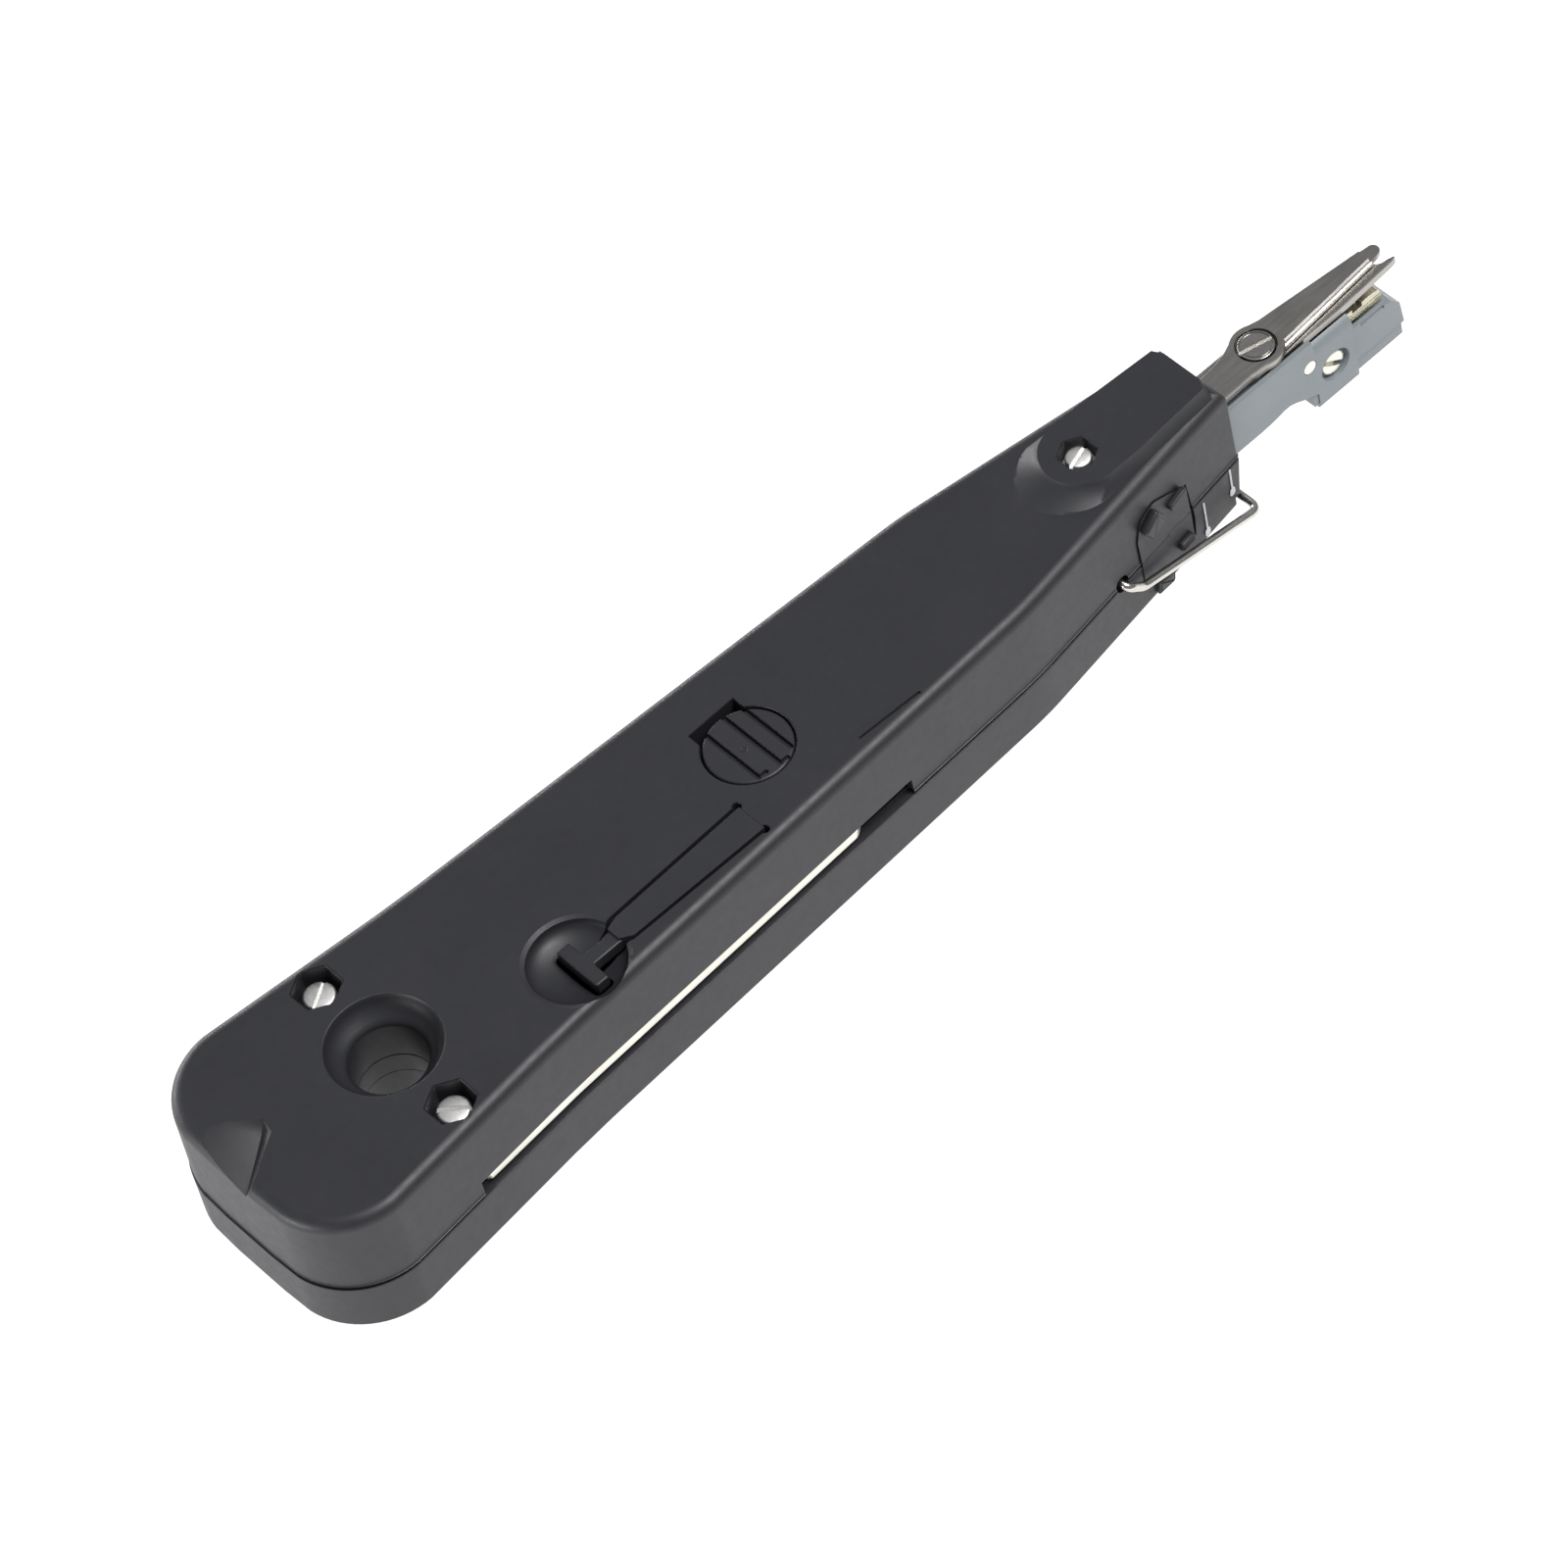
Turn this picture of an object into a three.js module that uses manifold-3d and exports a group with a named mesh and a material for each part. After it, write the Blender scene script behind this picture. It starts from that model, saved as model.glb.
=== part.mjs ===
// Sensor punch down tool for insulation displacement blocks.
// Millimetres. +X points to the cutting head, +Y to the left side, +Z up.
// The origin is on the flat underside, on the centre plane.
import * as THREE from 'three';
import { mergeVertices } from 'three/addons/utils/BufferGeometryUtils.js';
import Module from 'manifold-3d';

const wasm = await Module();
wasm.setup();

// ---------- driving dimensions ----------
const TAIL_X = -85;            // rear end of the casing
const FRONT_X = 63.5;          // front face of the casing
const SEAM_Z = 7.7;            // parting plane of the two shells
const TOP_Z = 19.4;            // main top face
const BOSS_FOOT_R = 9.2;
const BOSS_Z = 21.2;           // raised platform around the front screw
const SEAM_GAP = 0.1;
const TAIL_HALF = 17.2;        // half width at the tail
const WAIST_X = -48;           // the sides flare towards the tail behind this
const WAIST_HALF = 14.7;
const BEND_HALF = 11.2;        // half width where the front taper starts
const FRONT_HALF = 5.8;        // half width at the front face
const TAIL_CORNER_X = -74.6;
const TAIL_CORNER_R = 10.4;
const TAIL_CROWN = 0.09;         // bulge of the tail's end face
const BEND_X = 26;
const BEND_REACH = 2.5;        // the bend is blended this far to either side
const FRONT_CORNER = 0.6;
const WALL = 1.6;              // side walls round the head
const REAR_WALL = 2.2;         // side walls along the latches
const FLOOR = 2.2;
const CEILING_Z = 16.6;        // roof of the front chamber
const DRAFT = 0.3;             // the upper shell's sides lean in by this much
const FRONT_LEAN = 0.8;        // the lower shell's front face leans back by this much
const TOP_EDGE_R = 1.6;
const BOTTOM_EDGE_R = 0.5;
const REAR_ROOM_X0 = -54;
const REAR_ROOM_X1 = -15.5;
const FRONT_ROOM_X0 = 8;
const MOUTH_HALF = 4.05;       // opening that the head slides through
const MOUTH_TOP_Z = 15.2;
const MOUTH_FLOOR_Z = 4.2;
const THUMB_X = -77.3;         // tip of the thumb recess at the tail
const THUMB_Y = 1.7;
const THUMB_SLOPE = 0.28;

const HOLE_X = -62;            // hanging hole
const HOLE_R = 4.6;
const HOLE_RIM_R = 6.9;
const DISH = 3.2;              // depth of the dished rim
const REAR_SCREW_Y = 11.5;
const FRONT_SCREW_X = 45;
const POCKET_R = 2.9;
const REAR_HEAD_Z = 18.1;      // top of the rear screw heads
const FRONT_HEAD_Z = 20.3;
const TIP_Z = 0.9;
const NUT_R = 2.3;
const NUT_Z0 = 0.3;
const NUT_Z1 = 1.7;
const THREAD_R = 1.2;
const CLEAR_R = 1.5;

const KNOB_X = -7.5;           // pivots of the two fold-out tools
const KNOB_Y = 0.6;
const KNOB_R = 5.3;
const KNOB_SHAFT_R = 3.0;
const KNOB_GAP = 0.3;
const SWEEP_R = 14.7;          // room for the hub of a fold-out tool
const HUB_R = 5;
const HOOK_Z = 8.0;
const BLADE_Z = 5.9;
const FOLD_THICK = 1.4;
const SLOT_DEPTH = 2.1;
const SLOT_REAR_X = -64;
const SLOT_FRONT_X = 5.3;
const SLOT_LEFT_Y = 5.2;
const TOOL_INSET = 0.45;       // the folded tools lie this far inside the casing's side

const LATCH_X = -40.2;         // T shaped latch tongues
const LATCH_Y = 7.9;
const LATCH_R = 6.2;           // rim of the finger dish
const LATCH_WELL_R = 4.6;      // the dish is open inside this radius
const TONGUE_ROOT_X = -14;
const STRAP_X = -33.9;         // the strap narrows to the stem of the T here
const BAR_X0 = -40.8;
const BAR_X1 = -39;
const BAR_HALF = 3.5;
const STEM_HALF = 1.0;
const BAR_SUNK = 0.7;
const TONGUE_HALF = 2.3;
const TONGUE_CENTRE_Y = 8.25;
const TONGUE_THICK = 1.8;
const TONGUE_SLOT = 0.5;

const TRAVEL = 8;              // how far the head goes in
const SHANK_X = 30;            // rear face of the head's shank
const NECK_HALF = 3.8;
const CHEEK_Z = 13.2;          // top of the thin walls beside the scissors
const CHEEK_HALF = 3.15;
const BLOCK_X0 = 77.9;
const BLOCK_X1 = 84.3;
const HEAD_TOP_Z = 11.9;
const PIVOT_X = 72.8;
const LOWER_BLADE_Z = 12.2;
const UPPER_BLADE_Z = 13.5;
const SCISSOR_THICK = 1.1;
const SLEEVE_R = 1.8;
const SLEEVE_FOOT_Z = 3.4;
const CLOSE_ANGLE = 4;         // degrees that each blade turns
const SPRING_Z = 8.5;          // axis of the main spring
const SEAT_X = 8.2;
const ROD_R = 1.3;
const SENSOR_HALF = 2.5;
const SENSOR_FLOOR_Z = 8.5;
const HEAD_SCREW_X = 81.0;
const HEAD_SCREW_Z = 6.4;
const HEAD_SCREW_R = 1.75;
const CROSS_PIN_X = 77.2;
const CROSS_PIN_Z = 9.3;
const CROSS_PIN_R = 0.95;

const BAIL_R = 0.55;           // wire radius of the bail
const BAIL_PIVOT_X = 41.4;
const BAIL_BAR_X = 62.65;      // the bail's front bar, in a rebate under the nose
const BAIL_BAR_Z = 0.65;
const REBATE = 1.0;            // the rebate reaches this far behind the bar's axis
const SLIDER_X = 50.2;
const SLIDER_FACE = 0.5;       // how far the slider stands out of the side
const SIDE_ANGLE = Math.atan2(BEND_HALF - FRONT_HALF, FRONT_X - BEND_X);

// ---------- colours ----------
const CHARCOAL = { color: 0x3b3c41, roughness: 0.62, metalness: 0 };
const HEAD_GREY = { color: 0xa2a9ad, roughness: 0.5, metalness: 0 };
const NICKEL = { color: 0xcfcabb, roughness: 0.25, metalness: 1 };
const SATIN = { color: 0x8b867d, roughness: 0.38, metalness: 1 };
const SPRING_STEEL = { color: 0x9a9a96, roughness: 0.3, metalness: 1 };
const SENSOR_GILT = { color: 0xb9a877, roughness: 0.3, metalness: 1 };

// ---------- solids ----------
const toRad = THREE.MathUtils.degToRad;

function solid(geometry) {
  const plain = geometry.clone();
  plain.deleteAttribute('normal');
  plain.deleteAttribute('uv');
  const merged = mergeVertices(plain, 1e-5);
  return new wasm.Manifold(new wasm.Mesh({
    numProp: 3,
    vertProperties: Float32Array.from(merged.attributes.position.array),
    triVerts: Uint32Array.from(merged.index.array),
  }));
}

function geometryOf(manifold) {
  const mesh = manifold.getMesh();
  const geometry = new THREE.BufferGeometry();
  geometry.setAttribute('position', new THREE.BufferAttribute(new Float32Array(mesh.vertProperties), 3));
  geometry.setIndex(new THREE.BufferAttribute(new Uint32Array(mesh.triVerts), 1));
  geometry.computeVertexNormals();
  return geometry;
}

const join = (...parts) => parts.reduce((sum, part) => sum.add(part));
const cut = (body, ...tools) => tools.reduce((rest, tool) => rest.subtract(tool), body);

// A box from its low corner to its high corner.
function box(x0, x1, y0, y1, z0, z1) {
  const geometry = new THREE.BoxGeometry(x1 - x0, y1 - y0, z1 - z0);
  geometry.translate((x0 + x1) / 2, (y0 + y1) / 2, (z0 + z1) / 2);
  return solid(geometry);
}

// A cylinder or regular prism along Z.
function post(x, y, z0, z1, radius, sides = 20, turn = 0) {
  const geometry = new THREE.CylinderGeometry(radius, radius, z1 - z0, sides);
  geometry.rotateX(Math.PI / 2);
  geometry.rotateZ(toRad(turn));
  geometry.translate(x, y, (z0 + z1) / 2);
  return solid(geometry);
}

// A cone frustum along Z.
function frustum(x, y, z0, z1, r0, r1, sides) {
  const geometry = new THREE.CylinderGeometry(r1, r0, z1 - z0, sides);
  geometry.rotateX(Math.PI / 2);
  geometry.translate(x, y, (z0 + z1) / 2);
  return solid(geometry);
}

// A cylinder along Y.
function crossPost(x, z, y0, y1, radius, sides = 20) {
  const geometry = new THREE.CylinderGeometry(radius, radius, y1 - y0, sides);
  geometry.translate(x, (y0 + y1) / 2, z);
  return solid(geometry);
}

// A cylinder along X.
function longPost(x0, x1, y, z, radius, sides = 16) {
  const geometry = new THREE.CylinderGeometry(radius, radius, x1 - x0, sides);
  geometry.rotateZ(Math.PI / 2);
  geometry.translate((x0 + x1) / 2, y, z);
  return solid(geometry);
}

// A plan outline [[x, y], ...] pulled up from z0 to z1.
function slab(points, z0, z1) {
  const shape = new THREE.Shape(points.map(([x, y]) => new THREE.Vector2(x, y)));
  const geometry = new THREE.ExtrudeGeometry(shape, { depth: z1 - z0, bevelEnabled: false });
  geometry.translate(0, 0, z0);
  return solid(geometry);
}

// A side profile [[x, z], ...] pulled across from y0 to y1.
function across(points, y0, y1) {
  const shape = new THREE.Shape(points.map(([x, z]) => new THREE.Vector2(x, z)));
  const geometry = new THREE.ExtrudeGeometry(shape, { depth: y1 - y0, bevelEnabled: false });
  geometry.rotateX(Math.PI / 2);
  geometry.translate(0, y1, 0);
  return solid(geometry);
}

// A closed skin over rings of equal length, each ring being [[x, y, z], ...].
function loft(rings) {
  const count = rings[0].length;
  const faces = [];
  rings.slice(1).forEach((ring, level) => {
    for (let i = 0; i < count; i += 1) {
      const a = level * count + i;
      const b = level * count + ((i + 1) % count);
      faces.push(a, b, b + count, a, b + count, a + count);
    }
  });
  const flat = (ring) => ring.map(([x, y]) => new THREE.Vector2(x, y));
  const top = (rings.length - 1) * count;
  THREE.ShapeUtils.triangulateShape(flat(rings[0]), []).forEach(([a, b, c]) => faces.push(a, c, b));
  THREE.ShapeUtils.triangulateShape(flat(rings.at(-1)), [])
    .forEach(([a, b, c]) => faces.push(top + a, top + b, top + c));
  const geometry = new THREE.BufferGeometry();
  geometry.setAttribute('position', new THREE.Float32BufferAttribute(rings.flat(2), 3));
  geometry.setIndex(faces);
  return solid(geometry);
}

// A round wire along a curve.
function wire(curve, radius, steps, sides) {
  const shape = new THREE.Shape();
  shape.absarc(0, 0, radius, 0, 2 * Math.PI, false);
  const section = new THREE.Shape(shape.getSpacedPoints(sides).slice(0, sides));
  return solid(new THREE.ExtrudeGeometry(section, { steps, bevelEnabled: false, extrudePath: curve }));
}

class HelixAlongX extends THREE.Curve {
  constructor(x0, x1, y, z, radius, turns) {
    super();
    Object.assign(this, { x0, x1, y, z, radius, turns });
  }

  getPoint(t, target = new THREE.Vector3()) {
    const angle = 2 * Math.PI * this.turns * t;
    return target.set(
      this.x0 + (this.x1 - this.x0) * t,
      this.y + this.radius * Math.cos(angle),
      this.z + this.radius * Math.sin(angle),
    );
  }
}

function arc(x, y, radius, fromDeg, toDeg, steps) {
  return Array.from({ length: steps + 1 }, (_, i) => {
    const angle = toRad(fromDeg + ((toDeg - fromDeg) * i) / steps);
    return [x + radius * Math.cos(angle), y + radius * Math.sin(angle)];
  });
}

const mirrored = (points) => points.map(([x, y]) => [x, -y]).reverse();
const sorted = (a, b) => [Math.min(a, b), Math.max(a, b)];

// ---------- casing outline ----------
// Half width of the casing at the seam, without the rounded ends.
function halfWidth(x) {
  const flare = (TAIL_HALF - WAIST_HALF) / (WAIST_X - TAIL_CORNER_X);
  const rearSlope = (WAIST_HALF - BEND_HALF) / (BEND_X - WAIST_X);
  const frontSlope = (BEND_HALF - FRONT_HALF) / (FRONT_X - BEND_X);
  const start = BEND_X - BEND_REACH;
  const end = BEND_X + BEND_REACH;
  if (x <= WAIST_X) return WAIST_HALF + flare * (WAIST_X - x);
  if (x <= start) return BEND_HALF + rearSlope * (BEND_X - x);
  if (x >= end) return BEND_HALF - frontSlope * (x - BEND_X);
  const t = (x - start) / (end - start);
  return (1 - t) ** 2 * halfWidth(start) + 2 * t * (1 - t) * BEND_HALF + t ** 2 * halfWidth(end);
}

// Left half of the outline, from the front centre round to the tail centre, drawn in by an inset.
// The front face may be set back further.
function leftHalf(inset, back) {
  const bend = [1, 0.6, 0.2, -0.2, -0.6, -1].map((t) => BEND_X + t * BEND_REACH);
  const corner = arc(TAIL_CORNER_X, TAIL_HALF - TAIL_CORNER_R, TAIL_CORNER_R - inset, 90, 172, 7);
  return [
    [FRONT_X - back, FRONT_HALF - FRONT_CORNER - inset],
    [FRONT_X - FRONT_CORNER - back * 0.8, FRONT_HALF - inset],
    ...bend.map((x) => [x, halfWidth(x) - inset]),
    [WAIST_X, WAIST_HALF - inset],
    ...corner,
    [TAIL_X - TAIL_CROWN + inset, 4],
  ];
}

function casingRing(inset, z, back = inset) {
  const left = leftHalf(inset, back);
  return [...left, ...mirrored(left)].map(([x, y]) => [x, y, z]);
}

// A band of the casing's inside between two X positions, as far from the walls as inset says.
function insideBand(x0, x1, inset, z0, z1) {
  const stops = [x0, WAIST_X, BEND_X - BEND_REACH, BEND_X, BEND_X + BEND_REACH, x1]
    .filter((x) => x >= x0 && x <= x1)
    .filter((x, i, all) => all.indexOf(x) === i);
  const right = stops.map((x) => [x, -(halfWidth(x) - inset)]);
  return slab([...right, ...mirrored(right)], z0, z1);
}

// Slot that lets a fold-out tool lie flat and swing out of the right side.
function foldSlot(z0, z1) {
  const sweep = arc(KNOB_X, -KNOB_Y, SWEEP_R, 157, 383, 22);
  const sector = slab(sweep, z0, z1).intersect(box(-40, 20, -30, SLOT_LEFT_Y, z0, z1));
  const side = slab([
    [SLOT_REAR_X, -(halfWidth(SLOT_REAR_X) - REAR_WALL)],
    [SLOT_REAR_X, -20],
    [SLOT_FRONT_X, -20],
    [SLOT_FRONT_X, -8],
    [-14, -6],
    [-50, -7.6],
    [-57, -(halfWidth(-57) - REAR_WALL)],
  ], z0, z1);
  return join(sector, side);
}

// ---------- shells ----------
const EDGE_STEPS = [0, 30, 60, 90].map(toRad);

function upperBody(bottomZ) {
  return loft([
    casingRing(0, bottomZ),
    ...EDGE_STEPS.map((a) => {
      const inset = DRAFT + TOP_EDGE_R * (1 - Math.cos(a));
      return casingRing(inset, TOP_Z - TOP_EDGE_R * (1 - Math.sin(a)));
    }),
  ]);
}

function lowerBody(topZ) {
  return loft([
    ...EDGE_STEPS.map((a) => {
      const inset = BOTTOM_EDGE_R * (1 - Math.sin(a));
      return casingRing(inset, BOTTOM_EDGE_R * (1 - Math.cos(a)), FRONT_LEAN + inset);
    }),
    casingRing(0, topZ),
  ]);
}

// Raised front platform: round at the rear, flush with the sides at the front.
function boss() {
  const topLeft = [
    [61.7, 2.9],
    [61.0, 4.3],
    [50, 5.0],
    ...arc(FRONT_SCREW_X + 0.5, 0, 5.0, 90, 180, 8),
  ];
  const footLeft = [
    [FRONT_X - 0.5, 4.2],
    [FRONT_X - 1.2, halfWidth(62) - 0.5],
    [50, halfWidth(50) - 0.5],
    ...arc(FRONT_SCREW_X, 0, BOSS_FOOT_R, 125, 180, 8),
  ];
  const top = [...topLeft, ...mirrored(topLeft).slice(1)];
  const foot = [...footLeft, ...mirrored(footLeft).slice(1)];
  // The flank is hollow, and it runs deeper at the sides than behind the screw.
  const ring = (spread, drop) => foot.map(([x, y], i) => {
    const behind = Math.max(0, (FRONT_SCREW_X - x) / BOSS_FOOT_R);
    const depth = 3.2 - 1.25 * behind ** 2;
    const [a, b] = top[i];
    return [a + (x - a) * spread, b + (y - b) * spread, BOSS_Z - depth * drop];
  });
  return loft([ring(1, 1), ring(0.34, 0.5), ring(0, 0)]);
}

// Dished hanging hole through one shell.
function hangingHole(faceZ, inward) {
  const profile = [
    [0, 1],
    [HOLE_RIM_R + 0.6, 1],
    [HOLE_RIM_R + 0.3, 0.05],
    [HOLE_RIM_R - 0.3, -0.3],
    [HOLE_R + 0.9, -DISH * 0.55],
    [HOLE_R, -DISH],
    [HOLE_R, -14],
    [0, -14],
  ].reverse().map(([r, z]) => new THREE.Vector2(r, z));
  const geometry = new THREE.LatheGeometry(profile, 28);
  geometry.rotateX(inward < 0 ? Math.PI / 2 : -Math.PI / 2);
  geometry.translate(HOLE_X, 0, faceZ);
  return solid(geometry);
}

// Opening in a shell's outer wall for the latch tongue, with the finger dish round its free end.
function latchOpening(side, faceZ, inward) {
  const outer = faceZ - inward;
  const inner = faceZ + inward * 4;
  const [low, high] = sorted(outer, inner);
  const wellEdge = faceZ + inward * TONGUE_THICK;
  const [dishLow, dishHigh] = sorted(outer, wellEdge);
  const [wellLow, wellHigh] = sorted(faceZ, inner);
  const slope = (LATCH_R - LATCH_WELL_R) / TONGUE_THICK;
  const outerR = LATCH_R + slope;
  const radii = inward < 0 ? [LATCH_WELL_R, outerR] : [outerR, LATCH_WELL_R];
  const half = TONGUE_HALF + TONGUE_SLOT;
  const x = LATCH_X;
  const y = side * LATCH_Y;
  const middle = side * TONGUE_CENTRE_Y;
  return join(
    frustum(x, y, dishLow, dishHigh, ...radii, 32),
    post(x, y, wellLow, wellHigh, LATCH_WELL_R, 32),
    box(x, TONGUE_ROOT_X, middle - half, middle + half, low, high),
  );
}

// Bail pivot holes and the thin slot that the lock slider's key runs in.
function wallSlots(zLow, zHigh) {
  const bail = crossPost(BAIL_PIVOT_X, SEAM_Z, -20, 20, BAIL_R + 0.3, 12);
  const key = box(49.6, 57.4, -10, -2, SEAM_Z - 0.55, SEAM_Z + 0.55);
  return join(bail, key).intersect(box(-100, 100, -30, 30, zLow, zHigh));
}

function upperShell() {
  const low = SEAM_Z + SEAM_GAP / 2;
  let body = join(upperBody(low), boss());
  const rearCavity = insideBand(REAR_ROOM_X0, REAR_ROOM_X1, REAR_WALL, low - 1, TOP_Z - TONGUE_THICK);
  const frontCavity = insideBand(FRONT_ROOM_X0, FRONT_X - 1.5, WALL, low - 1, CEILING_Z);
  const mouth = box(60, FRONT_X + 2, -MOUTH_HALF, MOUTH_HALF, low - 1, MOUTH_TOP_Z);
  body = cut(
    body,
    rearCavity,
    frontCavity,
    mouth,
    foldSlot(low - 1, low + SLOT_DEPTH - 0.05),
    hangingHole(TOP_Z, -1),
    latchOpening(-1, TOP_Z, -1),
    post(KNOB_X, -KNOB_Y, 15.9, TOP_Z + 1, KNOB_R + KNOB_GAP, 32),
    post(KNOB_X, -KNOB_Y, low - 1, 17, KNOB_SHAFT_R + KNOB_GAP, 20),
    box(-11.1, -4.1, 3.0, 5.6, 13.8, TOP_Z + 1),
    wallSlots(low - 1, 20),
    thumbRecess(),
  );
  [1, -1].forEach((side) => {
    body = cut(
      body,
      post(HOLE_X, side * REAR_SCREW_Y, REAR_HEAD_Z - 1.9, TOP_Z + 1, POCKET_R, 6, 90),
      post(HOLE_X, side * REAR_SCREW_Y, low - 1, REAR_HEAD_Z - 1.3, CLEAR_R, 12),
    );
  });
  return cut(
    body,
    post(FRONT_SCREW_X, 0, 18.4, BOSS_Z + 1, 2.3, 6, 90),
    post(FRONT_SCREW_X, 0, CEILING_Z - 1, 19, CLEAR_R, 12),
  );
}

// Thumb recess at the tail: flush along its left edge, sinking to a steep wall on the right.
function thumbRecess() {
  const rearLeft = [-10.7, 8.9];
  const corners = [[0, 0], rearLeft, [-10.7, -7.5]];
  const length = Math.hypot(...rearLeft);
  const drop = ([x, y]) => 0.02 + THUMB_SLOPE * (x * rearLeft[1] - y * rearLeft[0]) / -length;
  const ring = (height) => corners.map((p) => [THUMB_X + p[0], THUMB_Y + p[1], height(p)]);
  return loft([ring((p) => TOP_Z - drop(p)), ring(() => TOP_Z + 1)]);
}

function lowerShell() {
  const high = SEAM_Z - SEAM_GAP / 2;
  const overSlot = (tool) => tool.mirror([0, 1, 0]);
  let body = lowerBody(high);
  body = cut(
    body,
    insideBand(REAR_ROOM_X0, REAR_ROOM_X1, REAR_WALL, TONGUE_THICK, high + 1),
    insideBand(FRONT_ROOM_X0, FRONT_X - 1.5, WALL, FLOOR, high + 1),
    box(60, FRONT_X + 2, -MOUTH_HALF, MOUTH_HALF, MOUTH_FLOOR_Z, high + 1),
    overSlot(foldSlot(high - SLOT_DEPTH + 0.05, high + 1)),
    hangingHole(0, 1),
    latchOpening(1, 0, 1),
    box(BAIL_BAR_X - REBATE, FRONT_X + 1, -20, 20, -1, BAIL_BAR_Z + 0.9),
    post(KNOB_X, KNOB_Y, -1, 2.9, KNOB_R + KNOB_GAP, 32),
    post(KNOB_X, KNOB_Y, 2, high + 1, KNOB_SHAFT_R + KNOB_GAP, 20),
    box(-11.1, -4.1, -5.6, -3.0, -1, 4.6),
    wallSlots(0, high + 1),
  );
  body = body.add(post(FRONT_SCREW_X, 0, FLOOR - 0.3, SLEEVE_FOOT_Z - 0.1, 3.2, 20));
  [[HOLE_X, REAR_SCREW_Y], [HOLE_X, -REAR_SCREW_Y], [FRONT_SCREW_X, 0]].forEach(([x, y]) => {
    body = cut(
      body,
      post(x, y, -1, NUT_Z1 + 0.2, NUT_R + 0.3, 6),
      post(x, y, 1, high + 1, CLEAR_R, 12),
    );
  });
  return body;
}

// ---------- fasteners ----------
// Cheese-head slotted screw, its head on top.
function screw(x, y, headZ, headR, slotTurn) {
  const headThick = 1.5;
  const slot = new THREE.BoxGeometry(2 * headR + 1, 0.55, 1.4);
  slot.rotateZ(toRad(slotTurn));
  slot.translate(x, y, headZ);
  const head = post(x, y, headZ - headThick, headZ, headR, 20);
  const shaft = post(x, y, TIP_Z, headZ - 1, THREAD_R, 14);
  return cut(join(head, shaft), solid(slot));
}

function hexNut(x, y, z0, z1, radius, bore) {
  return cut(post(x, y, z0, z1, radius, 6), post(x, y, z0 - 1, z1 + 1, bore, 14));
}

// ---------- fold-out tools ----------
// Plan of the hook: eye round the pivot, arm to the side, thin finger with a barb at its end.
function hookPlan() {
  const edge = (x) => -(halfWidth(x) - TOOL_INSET);
  return [
    ...arc(KNOB_X, -KNOB_Y, HUB_R, -20, 150, 9),
    [-16, -5.2],
    [-22, -9.2],
    [-50, edge(-50) + 4.2],
    [-55.5, edge(-55.5) + 1.3],
    [-61.2, edge(-61.2) + 1.0],
    [-62, edge(-62) + 1.5],
    [-62.8, edge(-62.8) + 0.9],
    [-62, edge(-62) + 0.2],
    [WAIST_X, edge(WAIST_X)],
    [-3.4, edge(-3.4)],
    [-1.9, edge(-1.9) + 1.0],
  ];
}

// Plan of the release blade: the same arm, with a broad pointed end.
function releasePlan() {
  const edge = (x) => halfWidth(x) - TOOL_INSET;
  return [
    [-1.9, edge(-1.9) - 1.0],
    [-3.4, edge(-3.4)],
    [WAIST_X, edge(WAIST_X)],
    [-58, edge(-58)],
    [-60.5, edge(-60.5) - 1.1],
    [-56, edge(-56) - 1.6],
    [-50, edge(-50) - 4.2],
    [-22, 9.2],
    [-16, 5.2],
    ...arc(KNOB_X, KNOB_Y, HUB_R, 210, 380, 9),
  ];
}

// Round knob that turns with a fold-out tool, with stepped ridges on its face.
function knob(y, faceZ, inward, collarZ, endZ) {
  let body = join(
    post(KNOB_X, y, ...sorted(faceZ, collarZ), KNOB_R, 32),
    post(KNOB_X, y, ...sorted(collarZ - inward * 0.5, endZ), KNOB_SHAFT_R, 20),
  );
  [-2.6, 0, 2.6].forEach((offset) => {
    const reach = Math.sqrt(KNOB_R ** 2 - offset ** 2) - 0.9;
    const proud = offset === 0 ? 0.45 : 0.3;
    const x = KNOB_X + offset;
    const [low, high] = sorted(faceZ + inward * 0.3, faceZ - inward * proud);
    body = body.add(box(x - 0.8, x + 0.8, y - reach, y + reach, low, high));
  });
  return body;
}

// ---------- latch tongues ----------
// A flush strap with a sunken T at its free end.
function latchTongue(side, faceZ, inward) {
  const y = side * TONGUE_CENTRE_Y;
  const inner = faceZ + inward * TONGUE_THICK;
  const [low, high] = sorted(faceZ, inner);
  const [padLow, padHigh] = sorted(faceZ + inward * BAR_SUNK, inner);
  const strap = box(STRAP_X, TONGUE_ROOT_X - 0.3, y - TONGUE_HALF, y + TONGUE_HALF, low, high);
  const stem = box(BAR_X1 - 0.5, STRAP_X + 0.5, y - STEM_HALF, y + STEM_HALF, padLow, padHigh);
  const bar = box(BAR_X0, BAR_X1, y - BAR_HALF, y + BAR_HALF, padLow, padHigh);
  return join(strap, stem, bar);
}

// ---------- lock slider, lock bar and detent ----------
// Places a solid drawn flat on the right side: local X along the side, local Y outward, local Z up.
function onRightSide(manifold) {
  return manifold
    .rotate([0, 0, THREE.MathUtils.radToDeg(SIDE_ANGLE)])
    .translate([SLIDER_X, -halfWidth(SLIDER_X), SEAM_Z]);
}

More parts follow.
